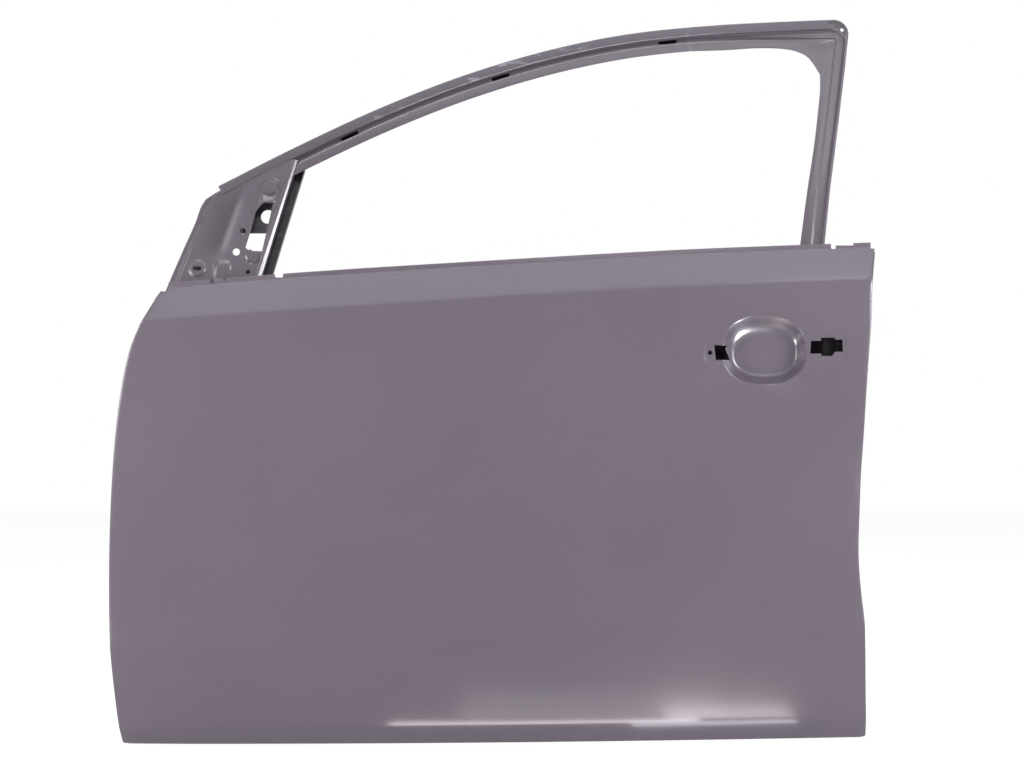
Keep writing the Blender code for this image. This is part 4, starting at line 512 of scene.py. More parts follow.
def prisms(cuts):
    """One cutter made of several that don't touch, each (outline, centre, reach, axis it runs along)."""
    bm = bmesh.new()
    for outline, centre, reach, along in cuts:
        loops = []
        for sign in (-1, 1):
            loops.append([bm.verts.new((
                centre + sign * reach if along == 0 else a + GRID_ORIGIN[0],
                centre + sign * reach if along == 1 else a + GRID_ORIGIN[1], b + GRID_ORIGIN[2],
            )) for a, b in outline])
        near, far = loops
        bm.faces.new(near)
        bm.faces.new(far[::-1])
        for i in range(len(near)):
            bm.faces.new((near[i], far[i], far[(i + 1) % len(near)], near[(i + 1) % len(near)]))
    bmesh.ops.recalc_face_normals(bm, faces=bm.faces)
    return link_new("cutter", mesh_from(bm, "cutter"))


def rounded_box(x, z, length, height, radius, arc=6):
    """Outline of a rectangle with round corners."""
    points = []
    for turn, (sx, sz) in enumerate(((1, 1), (-1, 1), (-1, -1), (1, -1))):
        for k in range(arc + 1):
            angle = math.radians(90 * turn + 90 * k / arc)
            points.append((
                x + sx * (length / 2 - radius) + radius * math.cos(angle),
                z + sz * (height / 2 - radius) + radius * math.sin(angle),
            ))
    return points


def disc(x, z, radius, sides=32):
    turns = [2 * math.pi * k / sides for k in range(sides)]
    return [(x + radius * math.cos(turn), z + radius * math.sin(turn)) for turn in turns]


# Outer skin

RECESS_X = 0.35175 * SKIN_LENGTH
RECESS_Z = 0.79587 * BELT_HEIGHT
RECESS_LENGTH = 0.117
RECESS_HEIGHT = 0.097
RECESS_FLOOR_X = 0.0008  # the floor's middle from the rim's middle
RECESS_FLOOR_Z = -0.0055
RECESS_FLOOR_LENGTH = 0.090
RECESS_FLOOR_HEIGHT = 0.060
RECESS_SQUARENESS = 2.45
RECESS_SHARES = (-0.25, 1.4)  # how far the bowl's share, 0 at its rim and 1 at its floor, is followed
RIM_BEND = (-0.03, 0.09)  # shares where the wall starts to fall, and over which it does
FLOOR_BEND = (0.32, 1.10)
PAD_DROP = 0.0009
PAD_EDGE = 0.0024
LEVER_PAD = (RECESS_X - 0.085, RECESS_X - 0.040, RECESS_Z - 0.018, RECESS_Z + 0.013)
LEVER_PAD_CORNER = 0.009
KEY_PAD = (RECESS_X + 0.040, RECESS_X + 0.1145, RECESS_Z - 0.0135, RECESS_Z + 0.0225)
KEY_PAD_CORNER = 0.007
LEVER_HOLE_X = RECESS_X - 0.0615
LEVER_HOLE_Z = RECESS_Z - 0.0039
LEVER_OUTLINE = (
    (-0.0098, 0.0109), (0.0096, 0.0095), (0.0062, 0.0066), (0.0078, 0.0010), (0.0104, -0.0022),
    (0.0131, -0.0102), (-0.0077, -0.0102),
)
KEY_HOLE_X = RECESS_X + 0.087
KEY_HOLE_Z = RECESS_Z + 0.0043
KEY_OUTLINE_LIFT = 0.0079
KEY_OUTLINE = (
    (-0.0231, -0.0172), (-0.0078, -0.0172), (-0.0066, -0.0206), (0.0075, -0.0206), (0.0125, -0.0146),
    (0.0233, -0.0146), (0.0223, 0.0026), (0.0135, 0.0022), (0.0100, 0.0055), (-0.0076, 0.0049),
    (-0.0078, 0.0008), (-0.0221, 0.0004),
)
GUIDE_HOLE_X = RECESS_X - 0.077
GUIDE_HOLE_RADIUS = 0.0032
HANDLE_CUT_REACH = 0.045
BELT_NOTCHES = (  # x, length, depth and corner radius
    (-0.5000, 0.0790, 0.0093, 0.0010), (-0.3978, 0.0070, 0.0060, 0.0022), (-0.3795, 0.0048, 0.0035, 0.0010),
    (-0.3028, 0.0115, 0.0050, 0.0022), (0.4829, 0.0068, 0.0075, 0.0020), (0.4985, 0.0260, 0.0030, 0.0010),
    (0.5480, 0.0240, 0.0093, 0.0012),
)
NOTCH_CUT_REACH = 0.012
FLANGE_PROFILE = ((0.0, 0.0), (0.0007, 0.0003), (0.0014, 0.0011), (0.0021, 0.0021), (0.0028, 0.0028),
                  (0.0038, 0.0030), (0.0060, 0.0030), (0.0100, 0.0030))
EDGE_ROLL_WIDTH = 0.0055
EDGE_ROLL_SHARE = 0.16
EDGE_ROLL_FLOOR = 0.35  # of that share, away from the waist
WAIST_Z = 0.385  # where the rear edge rolls in most, as it waists the door
WAISTS = ((0.0, 0.035, 1.0), (-0.07, 0.05, 0.45))  # height from it, half height and strength
HEM_RETURN = 0.009
HEM_STEPS = 7
FILLETS = (0.002, 0.006, 0.0026, 0.0034, 0.0016)  # half width of the bend at each line
FILLET_GROWTH = (0.0, 0.6, 0.5, 1.6, 0.0)  # share by which each grows towards the rear
FILLET_WEIGHTS = ((-1, 0.1), (-0.6, 0.2), (-0.2, 0.2), (0.2, 0.2), (0.6, 0.2), (1, 0.1))
BAND_ROWS = ((6, 1.0), (12, 0.8), (70, 0.35), (10, 0.9))  # rows of each band, and how they crowd its ends
EDGE_COLUMNS = (0.0, 0.0015, 0.003, 0.005, 0.007, 0.0095, 0.012, 0.016)  # from the skin's edge
INNER_COLUMNS = 112
FINE_MARGIN_Z = 0.006  # of the finely meshed window round the recess
FINE_MARGINS_X = (0.094, 0.124)  # from the recess's middle


def raw_depth(x, z):
    """Depth of the skin's section before its bends are rounded."""
    lines = [line_z(k, x) for k in range(5)]
    depth = np.full(np.broadcast(x, z).shape, LINE_DEPTHS[0])
    for band in range(4):
        share = (z - lines[band]) / (lines[band + 1] - lines[band])
        straight = LINE_DEPTHS[band] + share * (LINE_DEPTHS[band + 1] - LINE_DEPTHS[band])
        if band == 2:
            straight = SCOOP(np.clip(share, 0, 1)) * SCOOP_DEPTH
        inside = share > 0 if band else np.full(share.shape, True)
        depth = np.where(inside, straight, depth)
    return depth


def fillet_width(x, z):
    """How widely the section is rounded at a place."""
    lines = [line_z(k, x) for k in range(5)]
    rear = ease((x / HALF + 0.1) / 1.1)
    widths = [fillet * (1 + growth * rear) for fillet, growth in zip(FILLETS, FILLET_GROWTH)]
    width = widths[0]
    for band in range(4):
        share = np.clip((z - lines[band]) / (lines[band + 1] - lines[band]), 0, 1)
        width = np.where(share > 0, widths[band] + share * (widths[band + 1] - widths[band]), width)
    return width


def recess_depth(x, z):
    """The hand recess: an oval rim, a sloped wall and a smaller, lower oval floor."""
    low, high = (np.full(x.shape, share) for share in RECESS_SHARES)
    for _ in range(22):
        t = (low + high) / 2
        across = np.abs(x - RECESS_X - t * RECESS_FLOOR_X)
        upward = np.abs(z - RECESS_Z - t * RECESS_FLOOR_Z)
        half_length = (RECESS_LENGTH + t * (RECESS_FLOOR_LENGTH - RECESS_LENGTH)) / 2
        half_height = (RECESS_HEIGHT + t * (RECESS_FLOOR_HEIGHT - RECESS_HEIGHT)) / 2
        inside = (across / half_length) ** RECESS_SQUARENESS + (upward / half_height) ** RECESS_SQUARENESS < 1
        low, high = np.where(inside, t, low), np.where(inside, high, t)
    steps = np.linspace(*RECESS_SHARES, 400)
    slope = ease((steps - RIM_BEND[0]) / RIM_BEND[1]) * (1 - ease((steps - FLOOR_BEND[0]) / FLOOR_BEND[1]))
    fall = np.cumsum(slope)
    return np.interp(t, steps, fall / fall[-1]) * bpy.context.scene.door_sizes.recess_depth


def pad(x, z, box, corner, edge):
    """1 inside a round-cornered box and 0 outside, with a smooth edge."""
    left, right, bottom, top = box
    out_x = np.abs(x - (left + right) / 2) - (right - left) / 2 + corner
    out_z = np.abs(z - (bottom + top) / 2) - (top - bottom) / 2 + corner
    outside = np.hypot(np.maximum(out_x, 0), np.maximum(out_z, 0)) + np.minimum(np.maximum(out_x, out_z), 0)
    return 1 - ease((outside - corner) / edge + 0.5)


def skin_depth(x, z):
    """Depth of the finished skin at a place of the grid."""
    width = fillet_width(x, z)
    depth = sum(weight * raw_depth(x, z + step * width) for step, weight in FILLET_WEIGHTS)
    waist = sum(strength * np.exp(-(((z - WAIST_Z - lift) / half) ** 2)) for lift, half, strength in WAISTS)
    for side, swell in ((-1, 0.0), (1, waist)):
        width = EDGE_ROLL_WIDTH * (1 + swell)
        inset = np.clip(1 - np.abs(skin_edge(z, side) - x) / width, 0, 1)
        depth = depth + EDGE_ROLL_SHARE * (EDGE_ROLL_FLOOR + swell) * width * inset**2
    return depth


def handle_form(x, z):
    """Depth that the hand recess and the shallow pads beside it add to the skin."""
    bowl = recess_depth(x, z)
    lever = pad(x, z, LEVER_PAD, LEVER_PAD_CORNER, PAD_EDGE)
    key = pad(x, z, KEY_PAD, KEY_PAD_CORNER, PAD_EDGE)
    return bowl + PAD_DROP * np.maximum(lever, key) * (1 - np.clip(bowl / (3 * PAD_DROP), 0, 1))


def clustered(count, power=1.0):
    """Shares from 0 to 1 that lie closer together at both ends."""
    even = np.linspace(0, 1, count + 1)
    return (1 - power) * even + power * (1 - np.cos(math.pi * even)) / 2


def skin_lattice():
    """Row and column shares of the skin, and the window of them that is meshed more finely."""
    bands = [band + clustered(*rows) for band, rows in enumerate(BAND_ROWS)]
    rows = np.concatenate((bands[0], *(band[1:] for band in bands[1:])))
    edge = np.array(EDGE_COLUMNS) / HALF
    inner = np.linspace(-1 + edge[-1], 1 - edge[-1], INNER_COLUMNS)
    columns = np.concatenate((-1 + edge, inner[1:-1], (1 - edge)[::-1]))
    half = RECESS_HEIGHT / 2 + FINE_MARGIN_Z
    crease, shoulder = line_z(2, RECESS_X), line_z(3, RECESS_X)
    low, high = [2 + (z - crease) / (shoulder - crease) for z in (RECESS_Z - half, RECESS_Z + half)]
    left = (RECESS_X - FINE_MARGINS_X[0]) / skin_edge(RECESS_Z, 1)
    right = (RECESS_X + FINE_MARGINS_X[1]) / skin_edge(RECESS_Z, 1)
    window = (
        int(np.searchsorted(rows, low)) - 1, int(np.searchsorted(rows, high)),
        int(np.searchsorted(columns, left)) - 1, int(np.searchsorted(columns, right)),
    )
    return rows, columns, window


def skin_places(rows, columns):
    """Grid places (x, z) where row shares meet column shares."""
    side_x = columns * HALF
    band = np.minimum(rows.astype(int), 3)
    for _ in range(7):
        lines = np.stack([line_z(k, side_x) for k in range(5)])
        low = np.choose(band, lines[:4])
        high = np.choose(band, lines[1:])
        z = low + (rows - band) * (high - low)
        z = z + HEM_RADIUS * np.clip(1 - rows, 0, 1)
        edge = np.where(columns < 0, skin_edge(z, -1), skin_edge(z, 1))
        side_x = np.abs(columns) * edge
    return side_x, z


def fold_hem(bm, verts, neighbours, radius, back):
    """Folds the edge that runs through verts round the flange of the inner panel."""
    inwards = Vector((0, 1, 0))
    rails = [verts]
    frames = []
    for v, beside in zip(verts, neighbours):
        out = (v.co - beside.co).normalized()
        frames.append((out, (inwards - inwards.dot(out) * out).normalized()))
    for step in range(1, HEM_STEPS + 1):
        turn = math.pi * step / HEM_STEPS
        rails.append([
            bm.verts.new(v.co + radius * (math.sin(turn) * out + (1 - math.cos(turn)) * across))
            for v, (out, across) in zip(verts, frames)
        ])
    rails.append([bm.verts.new(v.co - back * out) for v, (out, _) in zip(rails[-1], frames)])
    for near, far in zip(rails, rails[1:]):
        for a, b, c, d in zip(near, near[1:], far[1:], far):
            bm.faces.new((a, b, c, d))


def divided(shares, fineness):
    """Shares with more of them evenly between each two."""
    count = len(shares)
    return np.interp(np.arange((count - 1) * fineness + 1) / fineness, np.arange(count), shares)


def skin_faces(rows, columns, window, fineness):
    """Faces of the skin as rings of (row, column) in the fine lattice, small ones in the window alone."""
    low, high, left, right = window
    faces = []
    for r in range(len(rows) - 1):
        for c in range(len(columns) - 1):
            if low <= r < high and left <= c < right:
                for i in range(fineness):
                    for j in range(fineness):
                        a, b = r * fineness + i, c * fineness + j
                        faces.append([(a, b), (a, b + 1), (a + 1, b + 1), (a + 1, b)])
                continue
            ring = []
            corners = [(r, c), (r, c + 1), (r + 1, c + 1), (r + 1, c)]
            for (r0, c0), (r1, c1) in zip(corners, corners[1:] + corners[:1]):
                flat = r0 == r1 and r0 in (low, high) and left <= min(c0, c1) < right
                upright = c0 == c1 and c0 in (left, right) and low <= min(r0, r1) < high
                count = fineness if flat or upright else 1
                for k in range(count):
                    ring.append((
                        r0 * fineness + (r1 - r0) * fineness * k // count,
                        c0 * fineness + (c1 - c0) * fineness * k // count,
                    ))
            faces.append(ring)
    return faces


def make_skin_mesh(fineness=5):
    """The skin's surface with its belt flange above it and its hems folded round its other edges."""
    rows, columns, window = skin_lattice()
    faces = skin_faces(rows, columns, window, fineness)
    keys = sorted({key for ring in faces for key in ring})
    index = {key: n for n, key in enumerate(keys)}
    at = np.array(keys)
    x, z = skin_places(divided(rows, fineness)[at[:, 0]], divided(columns, fineness)[at[:, 1]])
    bm = bmesh.new()
    verts = [bm.verts.new(p) for p in place(x, z, skin_depth(x, z) + handle_form(x, z))]
    for ring in faces:
        bm.faces.new([verts[index[key]] for key in ring])

    def chain(pairs):
        return [verts[index[(r * fineness, c * fineness)]] for r, c in pairs]

    top, last = len(rows) - 1, len(columns) - 1
    belt = chain((top, c) for c in range(last + 1))
    below = belt
    for lift, inward in FLANGE_PROFILE[1:]:
        above = [bm.verts.new(v.co + Vector((0, inward, lift))) for v in belt]
        for a, b, c, d in zip(below, below[1:], above[1:], above):
            bm.faces.new((a, b, c, d))
        below = above
    up = range(1, top - 1)
    front, rear = [(r, 0) for r in up], [(r, last) for r in reversed(up)]
    fold_hem(bm, chain(front), chain((r, 1) for r, _ in front), HEM_RADIUS, HEM_RETURN)
    fold_hem(bm, chain(rear), chain((r, last - 1) for r, _ in rear), HEM_RADIUS, HEM_RETURN)
    sill = list(range(last - 3, 3, -1))
    fold_hem(bm, chain((0, c) for c in sill), chain((1, c) for c in sill), HEM_RADIUS, HEM_RETURN)
    return bm


def skin_cutters():
    """The handle's openings and the notches of the belt flange."""
    middle = float(place(RECESS_X, RECESS_Z, 0.01)[1])
    outlines = (
        [(LEVER_HOLE_X + x, LEVER_HOLE_Z + z) for x, z in LEVER_OUTLINE],
        [(KEY_HOLE_X + x, KEY_HOLE_Z + KEY_OUTLINE_LIFT + z) for x, z in KEY_OUTLINE],
        disc(GUIDE_HOLE_X, LEVER_HOLE_Z, GUIDE_HOLE_RADIUS),
    )
    tools = [prism(outline, middle, HANDLE_CUT_REACH) for outline in outlines]
    for x, length, depth, radius in BELT_NOTCHES:
        top = float(belt_z(x)) + FLANGE_PROFILE[-1][0]
        outline = rounded_box(x, top, length, 2 * depth, radius, 4)
        tools.append(prism(outline, float(place(x, top, LINE_DEPTHS[4])[1]), NOTCH_CUT_REACH))
    return tools


# Window frame

HEADER_WIDTH = 0.0365
LAND_WIDTH = 0.0125
GROOVE_FLOOR = 0.0162
GROOVE_END = 0.022
GROOVE_DEPTH = 0.008
LIP_DEPTH = 0.0045
STEP_RUN = 0.002
TOP_RETURN = 0.014
FRAME_BOX = 0.036
SEAM_SHARE = 0.262
EDGE_FACET = 0.0015
FACET_STEEPNESS = 1.0
HEADER_TIP_X = -0.3955
HEADER_STATIONS = 90
TIP_STATIONS = 24
TIP_SIDES = 5  # points of the header's section that its tip has
CLOSING_STATIONS = 80
PRESSED_BEND = 0.0013
CLOSING_BEND = 0.003
# The frame pressings' finishes: primer, the toned copy with painted shading on steps and returns, the land
# with rinse marks, that toned copy again on the pillar's lip, and the dark finish that paints the corner
# cap's shade
HEADER_FINISHES = ("frame", "step", "scuffed", "step", "painted_shade")
FACE, STEP, LAND, PILLAR_STEP, CAP = range(len(HEADER_FINISHES))
SECTION_FINISHES = ((0, STEP), (1, LAND), (3, STEP), (7, STEP))
HEADER_SECTION = (  # from the outer edge to the glass side, as (width, depth)
    (0.0, TOP_RETURN), (0.0, 0.0), (LAND_WIDTH, 0.0), (LAND_WIDTH + EDGE_FACET, EDGE_FACET * FACET_STEEPNESS),
    (LAND_WIDTH + STEP_RUN, GROOVE_DEPTH), (GROOVE_FLOOR, GROOVE_DEPTH), (GROOVE_END + STEP_RUN, LIP_DEPTH),
    (HEADER_WIDTH, LIP_DEPTH), (HEADER_WIDTH, LIP_DEPTH + STEP_RUN),
)
SEAM_GAP = 0.0006
SLOT_SHARES = (-0.199, 0.004, 0.233)
SLOT_LENGTH = 0.027
SLOT_WIDTH = 0.0058
SLOT_OFFSET = 0.0192
SLOT_ROUNDING = 2.2  # a slot's width over the radius of its corners
BAR_TOP_X = -0.27486 * SKIN_LENGTH
BAR_TOP_Z = BELT_HEIGHT + 0.31884 * FRAME_RISE
BAR_LEAN = 0.279
BAR_RIB = 0.0115
BAR_CHANNEL = 0.0135
BAR_LENGTH = 0.400


def header_station(x):
    """A place on the header's top edge, with the direction from it towards the glass."""
    step = SKIN_LENGTH / 1000
    z = rise_z(HEADER(x / SKIN_LENGTH))
    rise = (rise_z(HEADER((x + step) / SKIN_LENGTH)) - rise_z(HEADER((x - step) / SKIN_LENGTH))) / (2 * step)
    size = math.hypot(1.0, rise)
    return x, float(z), float(rise / size), -1.0 / size


def along_header(start, end, count, section):
    """The header's section at evenly spaced stations."""
    stations = [header_station(x) for x in np.linspace(start, end, count)]
    return [
        [frame_place(x + a * across, z + a * up, b) for a, b in section] for x, z, across, up in stations
    ]


def inner_section(width, skew=1.0):
    """Section of the closing pressing, from the glass side to the outer edge."""
    lap = (FRAME_SHEET + LAP_GAP * 2) / skew
    return [
        (width - 2 * STEP_RUN, GROOVE_DEPTH + lap), (width - 2 * STEP_RUN, FRAME_BOX / 2),
        (width - LAND_WIDTH, FRAME_BOX), (TOP_RETURN / 2, FRAME_BOX), (lap, FRAME_BOX - STEP_RUN * 2),
        (lap, LIP_DEPTH),
    ]


def header_slot(share):
    """The cutter of a slot along the floor of the header's groove."""
    x, z, across, up = header_station(share * SKIN_LENGTH)
    tilt = math.atan2(across, -up)
    outline = []
    for px, pz in rounded_box(0.0, 0.0, SLOT_LENGTH, SLOT_WIDTH, SLOT_WIDTH / SLOT_ROUNDING):
        outline.append((
            x + SLOT_OFFSET * across + px * math.cos(tilt) - pz * math.sin(tilt),
            z + SLOT_OFFSET * up + px * math.sin(tilt) + pz * math.cos(tilt),
        ))
    return prism(outline, float(frame_place(x, z - SLOT_OFFSET, GROOVE_DEPTH)[1]), GROOVE_DEPTH)


def make_header():
    """The header's outer pressing, whose tip before the glass is only its land, and its closing."""
    seam = SEAM_SHARE * SKIN_LENGTH
    start = BAR_TOP_X - BAR_CHANNEL
    rail = along_header(start, seam, HEADER_STATIONS, HEADER_SECTION)
    tip = along_header(HEADER_TIP_X, start, TIP_STATIONS, HEADER_SECTION[:TIP_SIDES])
    bm, tip = (loft(sections, PRESSED_BEND, finishes=SECTION_FINISHES) for sections in (rail, tip))
    weld(bm, [tip], 0.00005)
    tools = [header_slot(share) for share in SLOT_SHARES]
    new_piece(bm, "header_rail", HEADER_FINISHES, ["header_outer"], FRAME_SHEET, cutters=tools)
    start = BAR_TOP_X + BAR_RIB + BAR_CHANNEL + STEP_RUN
    bm = loft(along_header(start, seam, CLOSING_STATIONS, inner_section(HEADER_WIDTH)), CLOSING_BEND)
    new_piece(bm, "header_closing", ["inside"], ["header_inner"], FRAME_SHEET)


def through(points, count):
    """Points spaced evenly along a smooth curve through given ones."""
    points = np.array(points, float)
    along = np.concatenate(([0], np.cumsum(np.linalg.norm(np.diff(points, axis=0), axis=1))))
    at = np.linspace(0, along[-1], count)
    return np.stack([curve_through(list(zip(along, points[:, k])))(at) for k in (0, 1)], -1)


CAP_START = np.array((1.0008, 0.5757))  # x and z in the frame where the corner cap's painted shade starts
CORNER_HOLE = (0.5116, 1.0317, 0.0026)
CORNER_HOLE_BEHIND = (0.5160, 1.0367, 0.0052)
CORNER_TURN_START = 0.8  # share of the stations along the header after which the pillar's section sets in
CORNER_SKEW = 0.92  # how much the closing's sections lean where the corner turns
CORNER_COUNTS = (34, 10, 60)  # stations along the header, round the corner and down the pillar
CORNER_RAILS = (
    # offset from the header's edge at the seam and at the corner, x where the rail leaves the header,
    # its offset from the pillar's edge, and the share of the frame's rise where it joins the pillar
    (0.0, 0.0, 0.5001, 0.0, 0.936),
    (0.0125, 0.0135, 0.4940, 0.0032, 0.900),
    (0.0145, 0.0160, 0.4925, 0.0068, 0.895),
    (0.0162, 0.0275, 0.5005, 0.0172, 0.914),
    (0.0240, 0.0300, 0.4980, 0.0196, 0.907),
)
CORNER_DEPTHS = ((0.0, 0.0), (0.0, 0.0), (0.008, 0.0052), (0.008, 0.0050), (0.0045, 0.0035))
LIP_SIDE = 5  # the section's side where the pillar's lip is
PILLAR_FOOT = -0.20
CORNER_LOW_Z = float(rise_z(0.94)) + GRID_ORIGIN[2]  # below it the finishes are the pillar's


def header_line(x, offset):
    """A point on the line that runs inside the header's top edge at a distance from it."""
    edge_x, edge_z, _, up = header_station(x)
    return edge_x, edge_z + offset / up


def pillar_line(share, offset):
    """The same for the rear pillar's rear edge, at a share of the frame's rise."""
    return float(REAR_FRAME(share)) * SKIN_LENGTH - offset, float(rise_z(share))


def corner_rails():
    """Lines of the rear corner pressing in the order of its section, each a list of (x, z)."""
    rails = []
    seam = SEAM_SHARE * SKIN_LENGTH + SEAM_GAP
    along, turn, down = CORNER_COUNTS
    for start, end, leave, pillar, join in CORNER_RAILS:
        rail = []
        for t in np.linspace(0, 1, along):
            rail.append(header_line(seam + t * (leave - seam), start + t * (end - start)))
        first, last = np.array(rail[-1]), np.array(pillar_line(join, pillar))
        for t in np.linspace(0, 1, turn + 1)[1:]:
            angle = t * math.pi / 2
            rail.append((
                first[0] + (last[0] - first[0]) * math.sin(angle),
                last[1] + (first[1] - last[1]) * math.cos(angle),
            ))
        for t in np.linspace(0, 1, down + 1)[1:]:
            rail.append(pillar_line(join + t * (PILLAR_FOOT - join), pillar))
        rails.append(rail)
    gusset = [(a * SKIN_LENGTH, float(rise_z(b))) for a, b in GUSSET_SHARES]
    x, z, across, up = header_station(seam)
    gusset[0] = (x + HEADER_WIDTH * across, z + HEADER_WIDTH * up)
    inner = list(through(gusset[:5], along)) + list(through(gusset[4:], turn + 1))[1:]
    for t in np.linspace(0, 1, down + 1)[1:]:
        share = GUSSET_SHARES[-1][1] + t * (PILLAR_FOOT - GUSSET_SHARES[-1][1])
        inner.append((float(GLASS_EDGE(share)) * SKIN_LENGTH, float(rise_z(share))))
    return rails, inner


def make_rear_corner():
    """The pressing that turns from the header into the rear pillar, and its closing."""
    rails, inner = corner_rails()
    along, turn, _ = CORNER_COUNTS
    sections = []
    for n in range(len(inner)):
        t = ease((n - along * CORNER_TURN_START) / (turn + along * (1 - CORNER_TURN_START)))
        section = [frame_place(*rails[0][n], TOP_RETURN)]
        for k, (rail, (header_depth, pillar_depth)) in enumerate(zip(rails, CORNER_DEPTHS)):
            section.append(frame_place(*rail[n], header_depth + t * (pillar_depth - header_depth)))
            if k == 1:
                edge, ahead = np.array(rail[n]), np.array(rails[2][n])
                step = (ahead - edge) * EDGE_FACET / np.linalg.norm(ahead - edge)
                section.append(frame_place(*(edge + step), header_depth + EDGE_FACET * FACET_STEEPNESS))
        lip = CORNER_DEPTHS[-1][0] + t * (CORNER_DEPTHS[-1][1] - CORNER_DEPTHS[-1][0])
        section.append(frame_place(*inner[n], lip))
        section.append(frame_place(*inner[n], lip + STEP_RUN))
        sections.append(section)
    bm = loft(sections, PRESSED_BEND, finishes=SECTION_FINISHES + ((LIP_SIDE, PILLAR_STEP),))
    for face in bm.faces:
        middle = np.array(face.calc_center_median())
        low = middle[2] < CORNER_LOW_Z
        if face.material_index == LAND and low:
            face.material_index = STEP
        if face.material_index == PILLAR_STEP and not low:
            face.material_index = FACE
        # The land's end round the corner takes the dark finish: painted shade of the corner cap
        if face.material_index == LAND and min(middle[::2] - CAP_START) > 0:
            face.material_index = CAP
    tools = [prism(disc(*CORNER_HOLE), float(frame_place(*CORNER_HOLE[:2], 0.0)[1]), GROOVE_DEPTH)]
    new_piece(bm, "rear_pillar", HEADER_FINISHES, ["rear_pillar_outer"], FRAME_SHEET, cutters=tools)
    sections = []
    for n, (ix, iz) in enumerate(inner):
        x, z = rails[0][n]
        width = math.hypot(ix - x, iz - z)
        across, up = (ix - x) / width, (iz - z) / width
        section = inner_section(width, CORNER_SKEW)
        sections.append([frame_place(x + a * across, z + a * up, b) for a, b in section])
    middle = float(frame_place(*CORNER_HOLE[:2], FRAME_BOX)[1])
    tools = [prism(disc(*CORNER_HOLE_BEHIND), middle, FRAME_BOX)]
    new_piece(loft(sections, CLOSING_BEND), "rear_pillar_closing", ["inside"],
              ["rear_pillar_inner"], FRAME_SHEET, cutters=tools)


# Front glass channel and mirror corner

MIRROR_FRONT_SHARES = ((-0.178, -0.4310), (-0.157, -0.4285), (-0.006, -0.4095), (0.128, -0.3923),
                       (0.186, -0.3863), (0.215, -0.3810))
MIRROR_FRONT = curve_through(MIRROR_FRONT_SHARES)
MIRROR_TOP_Z = BELT_HEIGHT + 0.37391 * FRAME_RISE
MIRROR_FACE = FRAME_SHEET + LAP_GAP
BAR_GAP = 0.0006
MIRROR_CUT_SHARES = (
    (-0.2905, 0.196), (-0.3000, 0.1975), (-0.3053, 0.193), (-0.3130, 0.162), (-0.3189, 0.0835),
    (-0.3255, 0.0096), (-0.3217, 0.0), (-0.3190, 0.003), (-0.3160, -0.004), (-0.3035, -0.006),
)
MIRROR_HOLES = ((-0.3578, 0.7305, 0.0042), (-0.3664, 0.7001, 0.0052), (-0.3489, 0.6713, 0.0030))
MIRROR_SLOT = (-0.4217, 0.6764, 0.0120, 0.0058)
MIRROR_CUT_REACH = 0.03
MIRROR_RIM_DROP = 0.0042
MIRROR_RIM = (0.0085, 0.006)  # its width along the front edge, and that of the rise behind it
MIRROR_RIM_SHARES = (0.06, 0.05)  # the same at the top edge, as shares of its length
TROUGH_DROP = 0.0038
TROUGH_SPREADS = (0.022, 0.0140)  # in front of its line and behind it
TROUGH_ENDS = ((0.672, 0.04), (0.806, -0.045))  # heights where it starts and ends, and over what width
BOSS = (-0.3201, 0.7951, 0.0112, 0.0040)  # x, z, radius and rise
BOSS_EDGE = 0.0028
HAT = (0.0105, 0.0140, 0.003)  # under the boss: the slope's height, its end, and the width of its edge
HAT_SIDES = (-0.003, 0.0120, 0.005)  # its middle from the boss's, half its length and its edge
HAT_RISE = 0.0042
SLOT_BOSS = (0.0115, 0.0024, 0.0020)  # radius, edge and rise round the slot
WEDGE_BOX = (-0.3965, -0.3740, 0.655, 0.6855)  # left, right, bottom and top of the wedge behind the slot
WEDGE = (0.006, 0.007, 0.03, 0.0042)  # corner, edge, slope's height and rise
SCOOP_BOX = (-0.3520, -0.3300, 0.686, 0.7005)  # of the scoop under the window
SCOOP_FORM = (0.004, 0.004, 0.015, 0.0065)  # corner, edge, slope's height and drop
CARRIER_FOOT_Z = 0.728
CARRIER_HEIGHT = 0.048
CARRIER_WIDTH = 0.041
CARRIER_TAPER = 0.35
CARRIER_LIP = 0.006
CARRIER_DEPTH = 0.015
CARRIER_BEND = 0.004
CARRIER_HOLE = (-0.3240, 0.7520, 0.0100)
BAR_STATIONS = 60
BAR_TOP_CUT = (0.0228, 0.0228, 0.0226, 0.0222, 0.0216, 0.0200, 0.0185, 0.0065, 0.0065, 0.0065)
# The bar's returns and its run for the glass take the dark finish: painted shade in the deep run
BAR_FINISHES = ((0, 1), (5, 1), (6, 1), (7, 1))
RIB_WIDTH = 0.0108
RIB_FACET = (0.0062, 0.0030)  # its lit side's width at the top, and how much it narrows downwards
RIB_TAPER = 1.6  # the bar's length over the length that the narrowing takes
RIB_SLOPE = 0.62
RUN_DEPTH = 0.0200
REAR_CHANNEL_TOP_SHARE = -0.2015
REAR_CHANNEL_LENGTH = 0.300
REAR_CHANNEL_SECTION = ((0.0, 0.017), (0.014, 0.017), (0.014, 0.003), (0.0, 0.003))


def bar_x(z):
    """Front edge of the front glass channel at a height."""
    return BAR_TOP_X - BAR_LEAN * (BAR_TOP_Z - z)


def bar_section(share):
    """The rib, whose lit side narrows downwards, and the deep, dark run for the glass beside it."""
    far = BAR_RIB + BAR_CHANNEL
    facet = RIB_FACET[0] - RIB_FACET[1] * ease(share * RIB_TAPER)
    drop = (RIB_WIDTH - facet) * RIB_SLOPE
    rib = [(0.0, 0.014), (0.0, 0.0022), (0.0020, 0.0008), (facet, 0.0005), (RIB_WIDTH, 0.0005 + drop)]
    run = [(0.0120, 0.0075), (0.0126, RUN_DEPTH), (far - 0.0008, RUN_DEPTH)]
    return rib + run + [(far, 0.0030), (far + 0.0008, 0.0030)]


